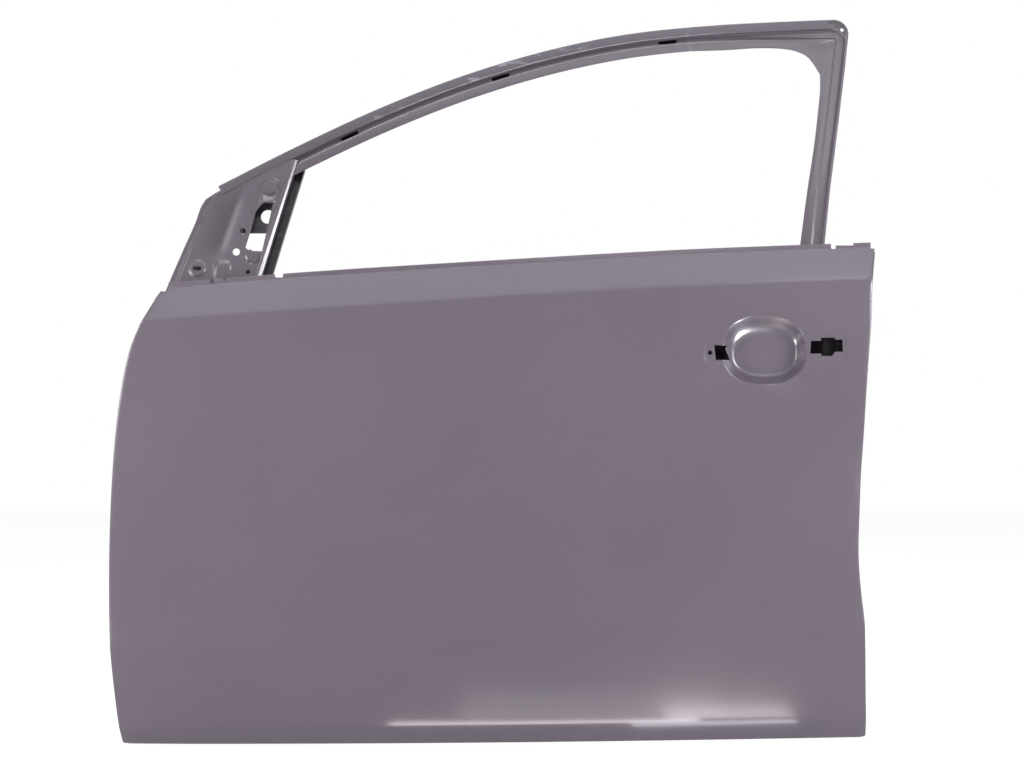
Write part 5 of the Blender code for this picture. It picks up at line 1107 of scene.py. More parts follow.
def make_front_channel():
    """The leaning bar in front of the window, cut to the header's underside at its top."""
    sections = [[
        frame_place(bar_x(BAR_TOP_Z + rise) + a, BAR_TOP_Z + rise, b)
        for rise, (a, b) in zip(BAR_TOP_CUT, bar_section(0))
    ]]
    for share in np.linspace(0, 1, BAR_STATIONS):
        z = BAR_TOP_Z - BAR_LENGTH * share
        sections.append([frame_place(bar_x(z) + a, z, b) for a, b in bar_section(share)])
    bm = loft(sections[::-1], 0.0010, 3, BAR_FINISHES)
    new_piece(bm, "front_channel", ["frame", "painted_shade"], ["front_glass_channel"], FRAME_SHEET)


def make_rear_channel():
    """The glass channel that carries the rear pillar's line on, straight down into the door."""
    high, low = (float(GLASS_EDGE(share)) * SKIN_LENGTH for share in (-0.2, -0.5))
    slope = (high - low) / (0.3 * FRAME_RISE)
    sections = []
    for share in np.linspace(0, 1, BAR_STATIONS // 2):
        z = float(rise_z(REAR_CHANNEL_TOP_SHARE)) - REAR_CHANNEL_LENGTH * share
        x = high + slope * (z - float(rise_z(-0.2)))
        sections.append([frame_place(x + a, z, b) for a, b in REAR_CHANNEL_SECTION])
    bm = loft(sections, 0.002)
    new_piece(bm, "rear_channel", ["primer"], ["rear_glass_channel"], FRAME_SHEET)


def bump_at(x, z, centre_x, centre_z, radius, edge):
    """1 inside a round boss and 0 outside, with a smooth edge."""
    return 1 - ease((np.hypot(x - centre_x, z - centre_z) - radius) / edge + 0.5)


def between(value, ends):
    """1 between two ends and 0 outside; each end is a place and the signed width it fades over."""
    share = 1.0
    for start, width in ends:
        share = share * ease((value - start) / width)
    return share


def slope_in(x, z, box, form, downwards):
    """How far a slope inside a box is pressed, most at the box's top or, downwards, at its bottom."""
    corner, edge, height, drop = form
    share = (box[3] - z) / height if downwards else (z - box[2]) / height
    return drop * pad(x, z, box, corner, edge) * np.clip(share, 0, 1)


def mirror_form(x, z, front):
    """Depth of the mirror corner's pressed forms behind its face."""
    depth = MIRROR_RIM_DROP * (1 - ease((x - front - MIRROR_RIM[0]) / MIRROR_RIM[1]))
    trough_x = TROUGH_X - TROUGH_LEAN * (TROUGH_Z - z)
    spread = np.where(x < trough_x, *TROUGH_SPREADS)
    depth = depth + TROUGH_DROP * np.exp(-(((x - trough_x) / spread) ** 2)) * between(z, TROUGH_ENDS)
    boss_x, boss_z, radius, rise = BOSS
    depth = depth - rise * bump_at(x, z, boss_x, boss_z, radius, BOSS_EDGE)
    below = boss_z - radius - z
    hat = np.clip(below / HAT[0], 0, 1) * ease((HAT[1] - below) / HAT[2])
    hat = hat * ease((HAT_SIDES[1] - np.abs(x - boss_x - HAT_SIDES[0])) / HAT_SIDES[2])
    depth = depth - HAT_RISE * hat
    radius, edge, rise = SLOT_BOSS
    depth = depth - rise * bump_at(x, z, MIRROR_SLOT[0], MIRROR_SLOT[1], radius, edge)
    depth = depth - slope_in(x, z, WEDGE_BOX, WEDGE, downwards=False)
    return depth + slope_in(x, z, SCOOP_BOX, SCOOP_FORM, downwards=True)


def make_mirror_corner():
    """The triangle in front of the window, with its boss, trough, window, holes and slot."""
    rise_low, rise_high = MIRROR_FRONT_SHARES[0][0], MIRROR_FRONT_SHARES[-1][0]
    across = np.concatenate(([0.0, 0.02, 0.04], np.linspace(0.06, 1, 78)))
    rows = []
    for v in np.linspace(0, 1, 100):
        rise = rise_low + v * (rise_high - rise_low)
        front_x, front_z = float(MIRROR_FRONT(rise)) * SKIN_LENGTH, float(rise_z(rise))
        rear_z = front_z + v * (MIRROR_TOP_Z - front_z)
        rear_x = bar_x(rear_z) + BAR_GAP
        x, z = front_x + across * (rear_x - front_x), front_z + across * (rear_z - front_z)
        rows.append(frame_place(x, z, MIRROR_FACE + mirror_form(x, z, front_x)))
    start = HEADER_SHARES[0][0] * SKIN_LENGTH + LAND_WIDTH / 3
    end = bar_x(MIRROR_TOP_Z) + BAR_GAP
    header_x, header_z, out_x, out_z = np.array([header_station(start + s * (end - start)) for s in across]).T
    edge_x, edge_z = header_x + LAND_WIDTH / 2 * out_x, header_z + LAND_WIDTH / 2 * out_z
    rim = MIRROR_RIM_DROP * (1 - ease((across - MIRROR_RIM_SHARES[0]) / MIRROR_RIM_SHARES[1]))
    for reach in (0.5, 1.0):
        rows.append(frame_place(x + reach * (edge_x - x), z + reach * (edge_z - z), MIRROR_FACE + rim))
    middle = float(frame_place(*MIRROR_HOLES[0][:2], MIRROR_FACE)[1])
    outlines = [[(a * SKIN_LENGTH, float(rise_z(b))) for a, b in MIRROR_CUT_SHARES]]
    outlines += [disc(*hole) for hole in MIRROR_HOLES]
    outlines.append(rounded_box(*MIRROR_SLOT, MIRROR_SLOT[3] / SLOT_ROUNDING))
    tools = [prism(outline, middle, MIRROR_CUT_REACH) for outline in outlines]
    bm = grid_mesh(np.array(rows))
    # Its finish paints shade along the trough
    new_piece(bm, "mirror_corner", ["trough_shade"], ["mirror_panel"], FRAME_SHEET, cutters=tools)


def make_mirror_carrier():
    """The bent bracket behind the mirror corner's window."""
    lip = MIRROR_FACE + FRAME_SHEET + LAP_GAP
    rows = []
    for share in np.linspace(0, 1, 30):
        z = CARRIER_FOOT_Z + share * CARRIER_HEIGHT
        rear = bar_x(z) - BAR_GAP * 2
        front = rear - CARRIER_WIDTH * (1 - share * CARRIER_TAPER)
        section = [(front - CARRIER_LIP, lip), (front, lip), (front, CARRIER_DEPTH), (rear, CARRIER_DEPTH)]
        rows.append(rounded([frame_place(x, z, b) for x, b in section], CARRIER_BEND, 5))
    middle = float(frame_place(*CARRIER_HOLE[:2], CARRIER_DEPTH)[1])
    # Its dark finish paints the shade behind the mirror corner's window
    new_piece(grid_mesh(np.array(rows)), "mirror_carrier", ["painted_shade"], ["mirror_bracket"],
              BRACKET_SHEET, cutters=[prism(disc(*CARRIER_HOLE), middle, 0.006)])


# Inner panel

FLANGE_WIDTH = 0.014
WALL_INSETS = (0.035, 0.043)  # of the hinge wall and the latch wall from the skin's ends
SHELF_DEPTHS = (0.072, 0.064, 0.088)  # front, sill and rear
SHELF_WIDTH = 0.026
STEP_WIDTH = 0.012
FACE_MARGIN = 0.010
RING_CORNERS = (0.0015, 0.006, 0.034, 0.046)  # of the flange, the wall, the shelf and the face
RAIL_HEIGHT = 0.052
RAIL_SLOPE = 0.016
RAIL_BELOW_BELT = 0.006
PANEL_STATIONS = (104, 9, 112)  # up each side, round each corner and along the sill
FRONT_WALL_X = WALL_INSETS[0] - HALF
REAR_WALL_X = HALF - WALL_INSETS[1]
PAD_RISE = 0.002
HINGE_Z = (HINGE_PAD_SHARE * BELT_HEIGHT, 0.26316 * BELT_HEIGHT)
CHECK_Z = 0.4623 * BELT_HEIGHT
WIRING_Z = 0.55477 * BELT_HEIGHT
LATCH_Z = 0.64723 * BELT_HEIGHT
FRONT_PADS = ((HINGE_Z[0], 0.064), (HINGE_Z[1], 0.064), (CHECK_Z, 0.044))
FRONT_PAD_DEPTHS = (0.028, 0.062)
REAR_PADS = ((LATCH_Z, 0.096),)
REAR_PAD_DEPTHS = (0.032, 0.080)
WALL_PAD_EDGE = 0.003
HINGE_HOLES = (0.018, 0.0055)  # half their spacing and their radius
CHECK_HOLES = (0.014, 0.0035)
CHECK_SLOT = (0.020, 0.0138, 0.0035)  # length, height and corner
WIRING_RADIUS = 0.014
LATCH_MOUTH = (0.022, 0.034, 0.0035)
LATCH_HOLES = ((-0.011, 0.037), (-0.011, -0.037), (0.011, 0.037))
LATCH_HOLE_RADIUS = 0.0035
WALL_CUT_REACH = 0.006
BOX_SCALE = np.array((SKIN_LENGTH, BELT_HEIGHT, SKIN_LENGTH, BELT_HEIGHT))
MODULE_BOX = (*(np.array((0.0921, 0.5477, 0.4788, 0.4694)) * BOX_SCALE), 0.060)
REGULATOR_BOX = (*(np.array((-0.2901, 0.6330, 0.1750, 0.2987)) * BOX_SCALE), 0.050)
SPEAKER = (-0.30387 * SKIN_LENGTH, 0.30583 * BELT_HEIGHT, 0.082)
CLIP_RADIUS = 0.004
CLIP_SHARES = (
    (-0.40, 0.16), (-0.40, 0.42), (-0.40, 0.66), (-0.19, 0.13), (-0.17, 0.42), (-0.17, 0.70),
    (0.05, 0.20), (0.22, 0.20), (0.38, 0.16), (0.39, 0.40), (0.39, 0.62),
)
DRAIN_SHARES = (-0.30, 0.0, 0.30)
DRAIN = (0.024, 0.008, 0.003)
DRAIN_DEPTH = 0.047
FACE_CUT_MARGIN = 0.008
BEADS = (  # left, right, bottom and top of each stiffening bead
    (-0.120, 0.380, 0.091, 0.106), (-0.150, 0.370, 0.167, 0.182), (-0.197, -0.184, 0.325, 0.465),
    (0.388, 0.403, 0.215, 0.540), (-0.445, -0.432, 0.155, 0.262),
)
BEAD_CORNER = 0.0055
BEAD_EDGE = 0.006
BEAD_DROP = 0.0040
RIM_WIDTH = 0.011
RIM_DROP = 0.0032
RIM_EDGE = 0.004
SPEAKER_RIM_SHARE = 0.8
RAIL_ROLL = 0.004
RAIL_ROLL_HEIGHT = 0.005
PANEL_BEND = 0.0040
WALL_LEVELS = 14
SAIL_FRONT_X = -0.445
SAIL_LENGTH = 0.115
SAIL_SLANT = 0.010
SAIL_LAP = 0.008
SAIL_TOP_Z = 0.6865
SAIL_TURN = 0.0025


def panel_top(x):
    return belt_z(x) - RAIL_BELOW_BELT


def rail_depth():
    """Depth of the belt rail, which lies against the back of the rear pillar."""
    return FRAME_DEPTH + FRAME_BOX + float(tumble(-RAIL_BELOW_BELT)) + LAP_GAP


def ring_line(inset, corner, at_edge=False):
    """A line round the inner panel: down the front, along the sill and up the rear.

    Returns x, z and a blend that is 0 on the front wall, 1 on the sill and 2 on the rear wall.
    """
    side_count, turn_count, sill_count = PANEL_STATIONS
    down = np.linspace(0, 1, side_count)
    turn = np.linspace(0, math.pi / 2, turn_count + 1)[1:]
    lift = inset + (HEM_RADIUS + LAP_GAP if at_edge else FLANGE_WIDTH)
    ends = []
    for side in (-1, 1):
        x = np.full(side_count, side * HALF * 0.9)
        for _ in range(6):
            foot = line_z(0, x) + lift + corner
            z = panel_top(x) + down * (foot - panel_top(x))
            edge = skin_edge(np.minimum(z, belt_z(side * HALF)), side)
            if at_edge:
                x = edge - side * LAP_GAP
            else:
                wall = edge - side * FLANGE_WIDTH
                wall = np.maximum(wall, FRONT_WALL_X) if side < 0 else np.minimum(wall, REAR_WALL_X)
                x = wall - side * inset
        x = np.concatenate((x, x[-1] - side * corner * (1 - np.cos(turn))))
        z = np.concatenate((z, z[-1] - corner * np.sin(turn)))
        blend = np.concatenate((down * 0, ease(turn / turn[-1])))
        ends.append((x, z, blend))
    (fx, fz, fb), (rx, rz, rb) = ends
    x = np.linspace(fx[-1], rx[-1], sill_count + 2)[1:-1]
    sill = (x, line_z(0, x) + lift, x * 0 + 1)
    return [np.concatenate(parts) for parts in zip((fx, fz, fb), sill, (rx[::-1], rz[::-1], 2 - rb[::-1]))]


def box_pad(x, z, box, grow, edge):
    """1 inside a box (x, z, length, height, corner) that is grown by a margin."""
    middle_x, middle_z, length, height, corner = box
    half_x, half_z = length / 2 + grow, height / 2 + grow
    sides = (middle_x - half_x, middle_x + half_x, middle_z - half_z, middle_z + half_z)
    return pad(x, z, sides, corner + grow, edge)


def face_form(x, z):
    """Depth of the cabin face: the rail, the face, sunk rims round the openings and stiffening beads."""
    below = panel_top(x) - z
    depth = rail_depth() + (INNER_DEPTH - rail_depth()) * ease((below - RAIL_HEIGHT) / RAIL_SLOPE)
    depth = depth - RAIL_ROLL * (1 - ease(below / RAIL_ROLL_HEIGHT))
    rims = [box_pad(x, z, box, RIM_WIDTH, RIM_EDGE) for box in (MODULE_BOX, REGULATOR_BOX)]
    speaker_x, speaker_z, radius = SPEAKER
    rims.append(bump_at(x, z, speaker_x, speaker_z, radius + RIM_WIDTH * SPEAKER_RIM_SHARE, RIM_EDGE))
    depth = depth - RIM_DROP * np.max(rims, axis=0)
    for bead in BEADS:
        depth = depth - BEAD_DROP * pad(x, z, bead, BEAD_CORNER, BEAD_EDGE)
    return depth


def wall_forms(z, depth, side):
    """1 on the raised pads of a wall, where the hinges, the check strap and the latch are screwed on."""
    pads, (low, high) = (FRONT_PADS, FRONT_PAD_DEPTHS) if side < 0 else (REAR_PADS, REAR_PAD_DEPTHS)
    raised = 0.0
    for middle, height in pads:
        up = 1 - ease((np.abs(z - middle) - height / 2) / WALL_PAD_EDGE)
        across = ease((depth - low + WALL_PAD_EDGE) / WALL_PAD_EDGE)
        across = across * ease((high + WALL_PAD_EDGE - depth) / WALL_PAD_EDGE)
        raised = np.maximum(raised, up * across)
    return raised


def panel_sections():
    """Sections of the panel's border, from the hem flange over the wall, shelf and step to the face."""
    flange = ring_line(0.0, RING_CORNERS[0], at_edge=True)
    wall = ring_line(0.0, RING_CORNERS[1])
    shelf = ring_line(SHELF_WIDTH, RING_CORNERS[2])
    step = ring_line(SHELF_WIDTH + STEP_WIDTH, RING_CORNERS[3])
    face = ring_line(SHELF_WIDTH + STEP_WIDTH + FACE_MARGIN, RING_CORNERS[3])
    rings = []
    for x, z, blend in (flange, wall):
        rings.append((x, z, skin_depth(x, z) + SKIN_SHEET + LAP_GAP))
    for x, z, blend in (wall, shelf):
        rings.append((x, z, np.interp(blend, (0, 1, 2), SHELF_DEPTHS)))
    for x, z, blend in (step, face):
        rings.append((x, z, face_form(x, z)))
    sections = []
    for points in np.stack([np.stack(ring, -1) for ring in rings], 1):
        line = rounded(points, PANEL_BEND)
        foot = CURVE_STEPS + 2
        start, end = line[foot - 1], line[foot]
        levels = [start + (end - start) * t for t in np.linspace(0, 1, WALL_LEVELS)[1:-1]]
        sections.append(line[:foot] + levels + line[foot:])
    places = np.array(sections)
    for side, inside in ((-1, wall[2] < 0.02), (1, wall[2] > 1.98)):
        near = FRONT_WALL_X if side < 0 else REAR_WALL_X
        x, z, depth = (places[inside, :, k] for k in range(3))
        on_wall = np.abs(x - near) < 0.0006
        places[inside, :, 0] = x + side * PAD_RISE * wall_forms(z, depth, side) * on_wall
    return places


def face_rows(last):
    """Rows of the cabin face between the border's last points, from the belt down to the sill."""
    side_count, turn_count, sill_count = PANEL_STATIONS
    leg = side_count + turn_count
    front, sill, rear = last[:leg], last[leg:leg + sill_count], last[leg + sill_count:][::-1]
    share = (sill[:, 0] - front[-1][0]) / (rear[-1][0] - front[-1][0])
    lift = FLANGE_WIDTH + SHELF_WIDTH + STEP_WIDTH + FACE_MARGIN
    rows = []
    for n in range(leg - 1):
        left, right = front[n], rear[n]
        x = left[0] + share * (right[0] - left[0])
        if n < side_count:
            foot = line_z(0, x) + lift + RING_CORNERS[3]
            z = panel_top(x) + n / (side_count - 1) * (foot - panel_top(x))
        else:
            ends = line_z(0, np.array((left[0], right[0])))
            z = left[1] + share * (right[1] - left[1]) + line_z(0, x) - ends[0] - share * (ends[1] - ends[0])
        row = np.stack((x, z, face_form(x, z)), -1)
        rows.append(np.vstack((left, row, right)))
    rows.append(np.vstack((front[-1], sill, rear[-1])))
    return np.array(rows)


def mirror_sail():
    """A small plate on the belt rail that closes the mirror corner from the cabin."""
    across, up = np.meshgrid(np.linspace(0, 1, 26), np.linspace(0, 1, 14))
    x = SAIL_FRONT_X + SAIL_LENGTH * across + SAIL_SLANT * up * (1 - across)
    low = panel_top(x) - SAIL_LAP
    z = low + up * (SAIL_TOP_Z - low)
    border = np.minimum(np.minimum(across, 1 - across) * 10, (1 - up) * 5)
    depth = rail_depth() + INNER_SHEET + LAP_GAP - SAIL_TURN * (1 - ease(border))
    return np.stack((x, z, depth), -1)


def make_inner_panel():
    """The inner panel in one piece: its border, the cabin face within it and the sail at its front."""
    border = panel_sections()
    bm, face, sail = (grid_mesh(place(*np.moveaxis(grid, -1, 0)))
                      for grid in (border, face_rows(border[:, -1]), mirror_sail()))
    weld(bm, (face, sail), 0.00002)
    face_away(bm, (0.0, 10.0, 0.0))
    new_piece(bm, "inner_pressing", ["primer"], ["inner_panel"], INNER_SHEET,
              cutters=[prisms(face_cuts()), prisms(wall_cuts())])


def face_cuts():
    """The openings, clip holes and drains of the inner panel."""
    middle = float(GRID_ORIGIN[1]) + INNER_DEPTH + PLAN_BOW / 2
    reach = PLAN_BOW + FACE_CUT_MARGIN
    cuts = [(rounded_box(*box, 12), middle, reach, 1) for box in (MODULE_BOX, REGULATOR_BOX)]
    cuts.append((disc(*SPEAKER, 72), middle, reach, 1))
    for a, b in CLIP_SHARES:
        cuts.append((disc(a * SKIN_LENGTH, b * BELT_HEIGHT, CLIP_RADIUS, 20), middle, reach, 1))
    for share in DRAIN_SHARES:
        x = share * SKIN_LENGTH
        outline = rounded_box(x, float(line_z(0, x)) + FLANGE_WIDTH, *DRAIN, 4)
        cuts.append((outline, float(GRID_ORIGIN[1] + plan(x)) + DRAIN_DEPTH, DRAIN[1] / 2, 1))
    return cuts


def wall_cuts():
    """The holes of the hinge wall and the latch wall."""
    x = FRONT_WALL_X + float(GRID_ORIGIN[0])
    y = float(plan(FRONT_WALL_X)) + sum(FRONT_PAD_DEPTHS) / 2
    holes = [(y, z + sign * HINGE_HOLES[0], HINGE_HOLES[1]) for z in HINGE_Z for sign in (1, -1)]
    holes += [(y, CHECK_Z + sign * CHECK_HOLES[0], CHECK_HOLES[1]) for sign in (1, -1)]
    holes.append((y, WIRING_Z, WIRING_RADIUS))
    cuts = [(disc(*hole, 28), x, WALL_CUT_REACH, 0) for hole in holes]
    cuts.append((rounded_box(y, CHECK_Z, *CHECK_SLOT), x, WALL_CUT_REACH, 0))
    x = REAR_WALL_X + float(GRID_ORIGIN[0])
    y = float(plan(REAR_WALL_X)) + sum(REAR_PAD_DEPTHS) / 2
    cuts.append((rounded_box(y, LATCH_Z, *LATCH_MOUTH), x, WALL_CUT_REACH, 0))
    for sy, sz in LATCH_HOLES:
        cuts.append((disc(y + sy, LATCH_Z + sz, LATCH_HOLE_RADIUS, 20), x, WALL_CUT_REACH, 0))
    return cuts


# Beam, mastic, damping sheet and the edges of the small plates

BEAM_HEIGHT_SHARES = (0.37269, 0.32006)
BEAM_RADIUS = 0.015
BEAM_WALL = 0.002
BEAM_SKIN_GAP = 0.005
BEAM_END_GAP = 0.018
BEAM_EDGE = (0.0006, 0.002)  # how far each end is rounded in, and over what length
MASTIC_SHARES = (-0.3, -0.1, 0.1, 0.3)
MASTIC_SIZE = (0.030, 0.016)
MASTIC_POWERS = (0.55, 0.7)  # of its outline's oval; under 1 is squarer
MASTIC_NECK = 0.86  # its width where it sticks, as a share of its middle's
MASTIC_WAVES = (5, 0.05)  # bulges round each bead, and their share of its width
DAMPER = (-0.05525 * SKIN_LENGTH, 0.61166 * BELT_HEIGHT, 0.300, 0.180)
DAMPER_THICKNESS = 0.002
DAMPER_EDGE = 0.0004
EMBOSS_PITCH = 0.014
EMBOSS_SHARPNESS = 2.2
PLATES = (
    "upper_hinge_reinforcement", "lower_hinge_reinforcement", "check_strap_reinforcement",
    "latch_reinforcement", "handle_reinforcement", "upper_hinge_nut_1", "upper_hinge_nut_2",
    "lower_hinge_nut_1", "lower_hinge_nut_2", "beam_bracket_front", "beam_bracket_rear",
    "belt_reinforcement_outer", "belt_reinforcement_inner",
)


def beam_ends():
    x = np.array((FRONT_WALL_X + BEAM_END_GAP, REAR_WALL_X - BEAM_END_GAP))
    z = np.array(BEAM_HEIGHT_SHARES) * BELT_HEIGHT
    return place(x, z, skin_depth(x, z) + SKIN_SHEET + BEAM_SKIN_GAP + BEAM_RADIUS)


def make_beam():
    """The side impact beam, a drawn tube."""
    start, end = beam_ends()
    turns = np.linspace(0, 2 * math.pi, 49)
    ring = np.stack((0 * turns, np.cos(turns), np.sin(turns)), -1)
    rows = []
    for share in clustered(30, 0.8):
        near_end = min(share, 1 - share) * (end[0] - start[0])
        radius = BEAM_RADIUS - BEAM_EDGE[0] * (1 - ease(near_end / BEAM_EDGE[1]))
        rows.append(start + share * (end - start) + radius * ring)
    bm = grid_mesh(np.array(rows))
    weld(bm, (), 0.00002)
    face_away(bm, start)
    new_piece(bm, "door_beam", ["primer"], ["impact_beam"], BEAM_WALL)


def mastic_place(share):
    """Where a bead's middle lies in the frame, with the y it starts and ends at."""
    start, end = beam_ends()
    x = share * SKIN_LENGTH + GRID_ORIGIN[0]
    y, z = start[1:] + (x - start[0]) / (end[0] - start[0]) * (end[1:] - start[1:])
    grid_x, grid_z = np.array(x - GRID_ORIGIN[0]), np.array(z - GRID_ORIGIN[2])
    skin_y = float(place(grid_x, grid_z, skin_depth(grid_x, grid_z))[1])
    return x, z, skin_y + SKIN_SHEET + LAP_GAP * 3, y - BEAM_RADIUS - LAP_GAP


def make_mastic():
    """Beads squeezed between the beam and the skin: flat where they stick, bulging at their sides."""
    turns = np.linspace(0, 2 * math.pi, 57)
    across, up = (np.sign(part) * np.abs(part) ** power * size / 2 for part, power, size in zip(
        (np.cos(turns), np.sin(turns)), MASTIC_POWERS, MASTIC_SIZE))
    count, height = MASTIC_WAVES
    for n, share in enumerate(MASTIC_SHARES):
        x, z, low, high = mastic_place(share)
        wave = 1 - height * (1 + np.sin(count * turns + n)) / 2
        rows = []
        for level in np.linspace(0, 1, 11):
            swell = (MASTIC_NECK + (1 - MASTIC_NECK) * math.sin(math.pi * level) ** 0.6) * wave
            y = np.full(turns.shape, low + level * (high - low))
            rows.append(np.stack((x + across * swell, y, z + up * swell), -1))
        first, last = (np.broadcast_to(row.mean(0), row.shape) for row in (rows[0], rows[-1]))
        bm = grid_mesh(np.array([first, *rows, last]))
        weld(bm, (), 0.00001)
        bmesh.ops.recalc_face_normals(bm, faces=bm.faces)
        new_piece(bm, f"mastic_bead_{n + 1}", ["mastic"], [f"mastic_pad_{n + 1}"], angle=60)


def make_damping_sheet():
    """A bitumen sheet pressed on the skin, embossed with rows of small squares."""
    emboss = bpy.context.scene.door_sizes.emboss_depth
    across, up = np.meshgrid(np.linspace(-0.5, 0.5, 121), np.linspace(-0.5, 0.5, 73))
    x, z = DAMPER[0] + across * DAMPER[2], DAMPER[1] + up * DAMPER[3]
    square = np.minimum(*(np.abs(np.sin(math.pi * v / EMBOSS_PITCH)) for v in (x, z)))
    depth = skin_depth(x, z) + SKIN_SHEET + LAP_GAP + DAMPER_THICKNESS
    depth = depth - emboss * (1 - ease(square * EMBOSS_SHARPNESS))
    edge = np.minimum((0.5 - np.abs(across)) * DAMPER[2], (0.5 - np.abs(up)) * DAMPER[3])
    depth = depth - (DAMPER_THICKNESS - DAMPER_EDGE) * (1 - ease(edge / DAMPER_THICKNESS))
    bm = grid_mesh(place(x, z, depth)[:, ::-1])
    new_piece(bm, "bitumen_sheet", ["bitumen"], ["damping_sheet"], DAMPER_EDGE)


def round_plate_edges():
    """Breaks the edges of the pressed plates and nuts that stay as they are in the frame."""
    for name in PLATES:
        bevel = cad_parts[name].modifiers.new("Broken edges", "BEVEL")
        bevel.width = bpy.context.scene.door_sizes.plate_edge
        bevel.segments = 2
        bevel.limit_method = "ANGLE"
        bevel.angle_limit = math.radians(40)


# Stage

CAMERA_PLACE = (0.5378, -3.26095, 0.0687)
CAMERA_LENS = 80.36
SENSOR_WIDTH = 36.0
ROOM_COLOUR = (0.90, 0.90, 1.0, 1.0)
ROOM_STRENGTH = 0.24
WHITE = (1.0, 1.0, 1.0, 1.0)
FLOOR_MIDDLE = (0.5, 0.0)
FLOOR_HALF = 6.0
FLOOR_GAP = 0.001
FLOOR_COLOUR = (0.86, 0.86, 0.86, 1.0)
FLOOR_ROUGHNESS = 0.9
FLOOR_GLOW = 1.1
FLOOR_GLOW_SHARE = 0.85  # the rest of the floor is lit like any surface, so the door's shadow shows
WARM, ROSE, COOL, CLEAR = (1.0, 0.93, 0.88), (1.0, 0.93, 0.93), (0.93, 0.95, 1.0), (0.95, 0.97, 1.0)
LAMPS = (
    # name, place, target, size, power and colour, whether it only shows in reflections, and the
    # angle in degrees that it shines within where that is narrow
    ("left_softbox", (-1.75, -1.45, 0.35), (0.4, 0.0, 0.0), (0.8, 0.9), 40, (1.0, 0.985, 1.0), False),
    ("right_softbox", (2.75, -1.45, 0.52), (0.6, 0.0, 0.0), (0.8, 0.9), 40, (0.98, 0.985, 1.0), False),
    ("top_softbox", (0.5, -1.62, 2.50), (0.5, 0.0, 0.2), (3.2, 0.5), 14, (0.92, 0.95, 1.0), False),
    ("top_strip", (0.5, -0.45, 2.40), (0.5, 0.0, 0.2), (2.4, 0.25), 30, (0.90, 0.94, 1.0), True),
    ("header_panel", (0.72, -0.190, 0.20), (0.72, -0.190, 1.0), (0.42, 0.08), 3.4, COOL, True),
    ("recess_right", (0.955, -0.100, 0.035), (0.83, 0.0, 0.155), (0.034, 0.02), 0.085, COOL, True, 44),
    ("recess_left", (0.775, -0.100, 0.035), (0.90, 0.0, 0.155), (0.025, 0.018), 0.06, COOL, True, 44),
    ("low_warm", (0.86, -0.15, -0.441), (0.86, -0.15, 1.0), (0.19, 0.09), 0.48, WARM, True),
    ("low_front", (0.83, -0.072, -0.441), (0.83, -0.072, 1.0), (0.24, 0.026), 0.16, COOL, True),
    ("right_card", (2.45, -1.62, 0.86), (0.3, 0.0, 0.3), (0.8, 0.6), 46, CLEAR, True),
    ("left_high", (-1.75, -1.45, 1.75), (0.6, 0.0, 0.2), (0.6, 0.6), 14, CLEAR, True),
    ("rear_high", (1.47, -1.95, 2.05), (0.95, 0.0, 0.3), (0.5, 0.4), 4, COOL, True),
    ("low_strip", (0.585, -0.095, -0.441), (0.585, -0.095, 1.0), (0.45, 0.028), 0.50, ROSE, True),
    ("back_left", (2.6, 2.3, 1.3), (0.5, 0.1, 0.0), (1.2, 1.2), 55, (1.0, 0.99, 1.0), False),
    ("back_right", (-1.5, 2.3, 0.9), (0.5, 0.1, 0.0), (1.2, 1.2), 38, (1.0, 0.99, 1.0), False),
    ("low_glow", (0.66, -0.19, -0.441), (0.66, -0.19, 1.0), (0.40, 0.12), 0.32, (1.0, 0.95, 0.97), True),
)


def background_rays(tree):
    """1 for the rays that show the pale background: straight, mirrored or through glass."""
    path = node(tree, "LightPath")
    seen = path.outputs["Is Camera Ray"]
    for name in ("Is Glossy Ray", "Is Transmission Ray"):
        seen = node(tree, "Math", {0: seen, 1: path.outputs[name]}, operation="MAXIMUM").outputs[0]
    return seen


def make_camera(scene):
    camera = link_new("camera", bpy.data.cameras.new("camera"))
    camera.location = CAMERA_PLACE
    camera.rotation_euler = (math.radians(90), 0, 0)
    camera.data.lens = CAMERA_LENS
    camera.data.sensor_width = SENSOR_WIDTH
    scene.camera = camera
    scene.view_settings.view_transform = "Standard"


def make_room(scene):
    """A faint cool world for the light, shown as plain white."""
    scene.world = bpy.data.worlds.new("white_room")
    scene.world.use_nodes = True
    tree = scene.world.node_tree
    back = tree.nodes["Background"]
    back.inputs["Color"].default_value = ROOM_COLOUR
    back.inputs["Strength"].default_value = ROOM_STRENGTH
    white = node(tree, "Background", {"Color": WHITE, "Strength": 1.0})
    choose = node(tree, "MixShader", {0: background_rays(tree), 1: back.outputs[0], 2: white.outputs[0]})
    tree.links.new(choose.outputs[0], tree.nodes["World Output"].inputs[0])


def make_lamps():
    for name, place_at, target, size, power, colour, reflected, *spread in LAMPS:
        data = bpy.data.lights.new(name, "AREA")
        data.shape = "RECTANGLE"
        data.size, data.size_y = size
        data.energy = power
        data.color = colour
        data.spread = math.radians(*spread or [180])
        lamp = link_new(name, data)
        lamp.visible_camera = False
        lamp.visible_diffuse = not reflected
        lamp.location = place_at
        lamp.rotation_euler = (Vector(target) - Vector(place_at)).to_track_quat("-Z", "Y").to_euler()


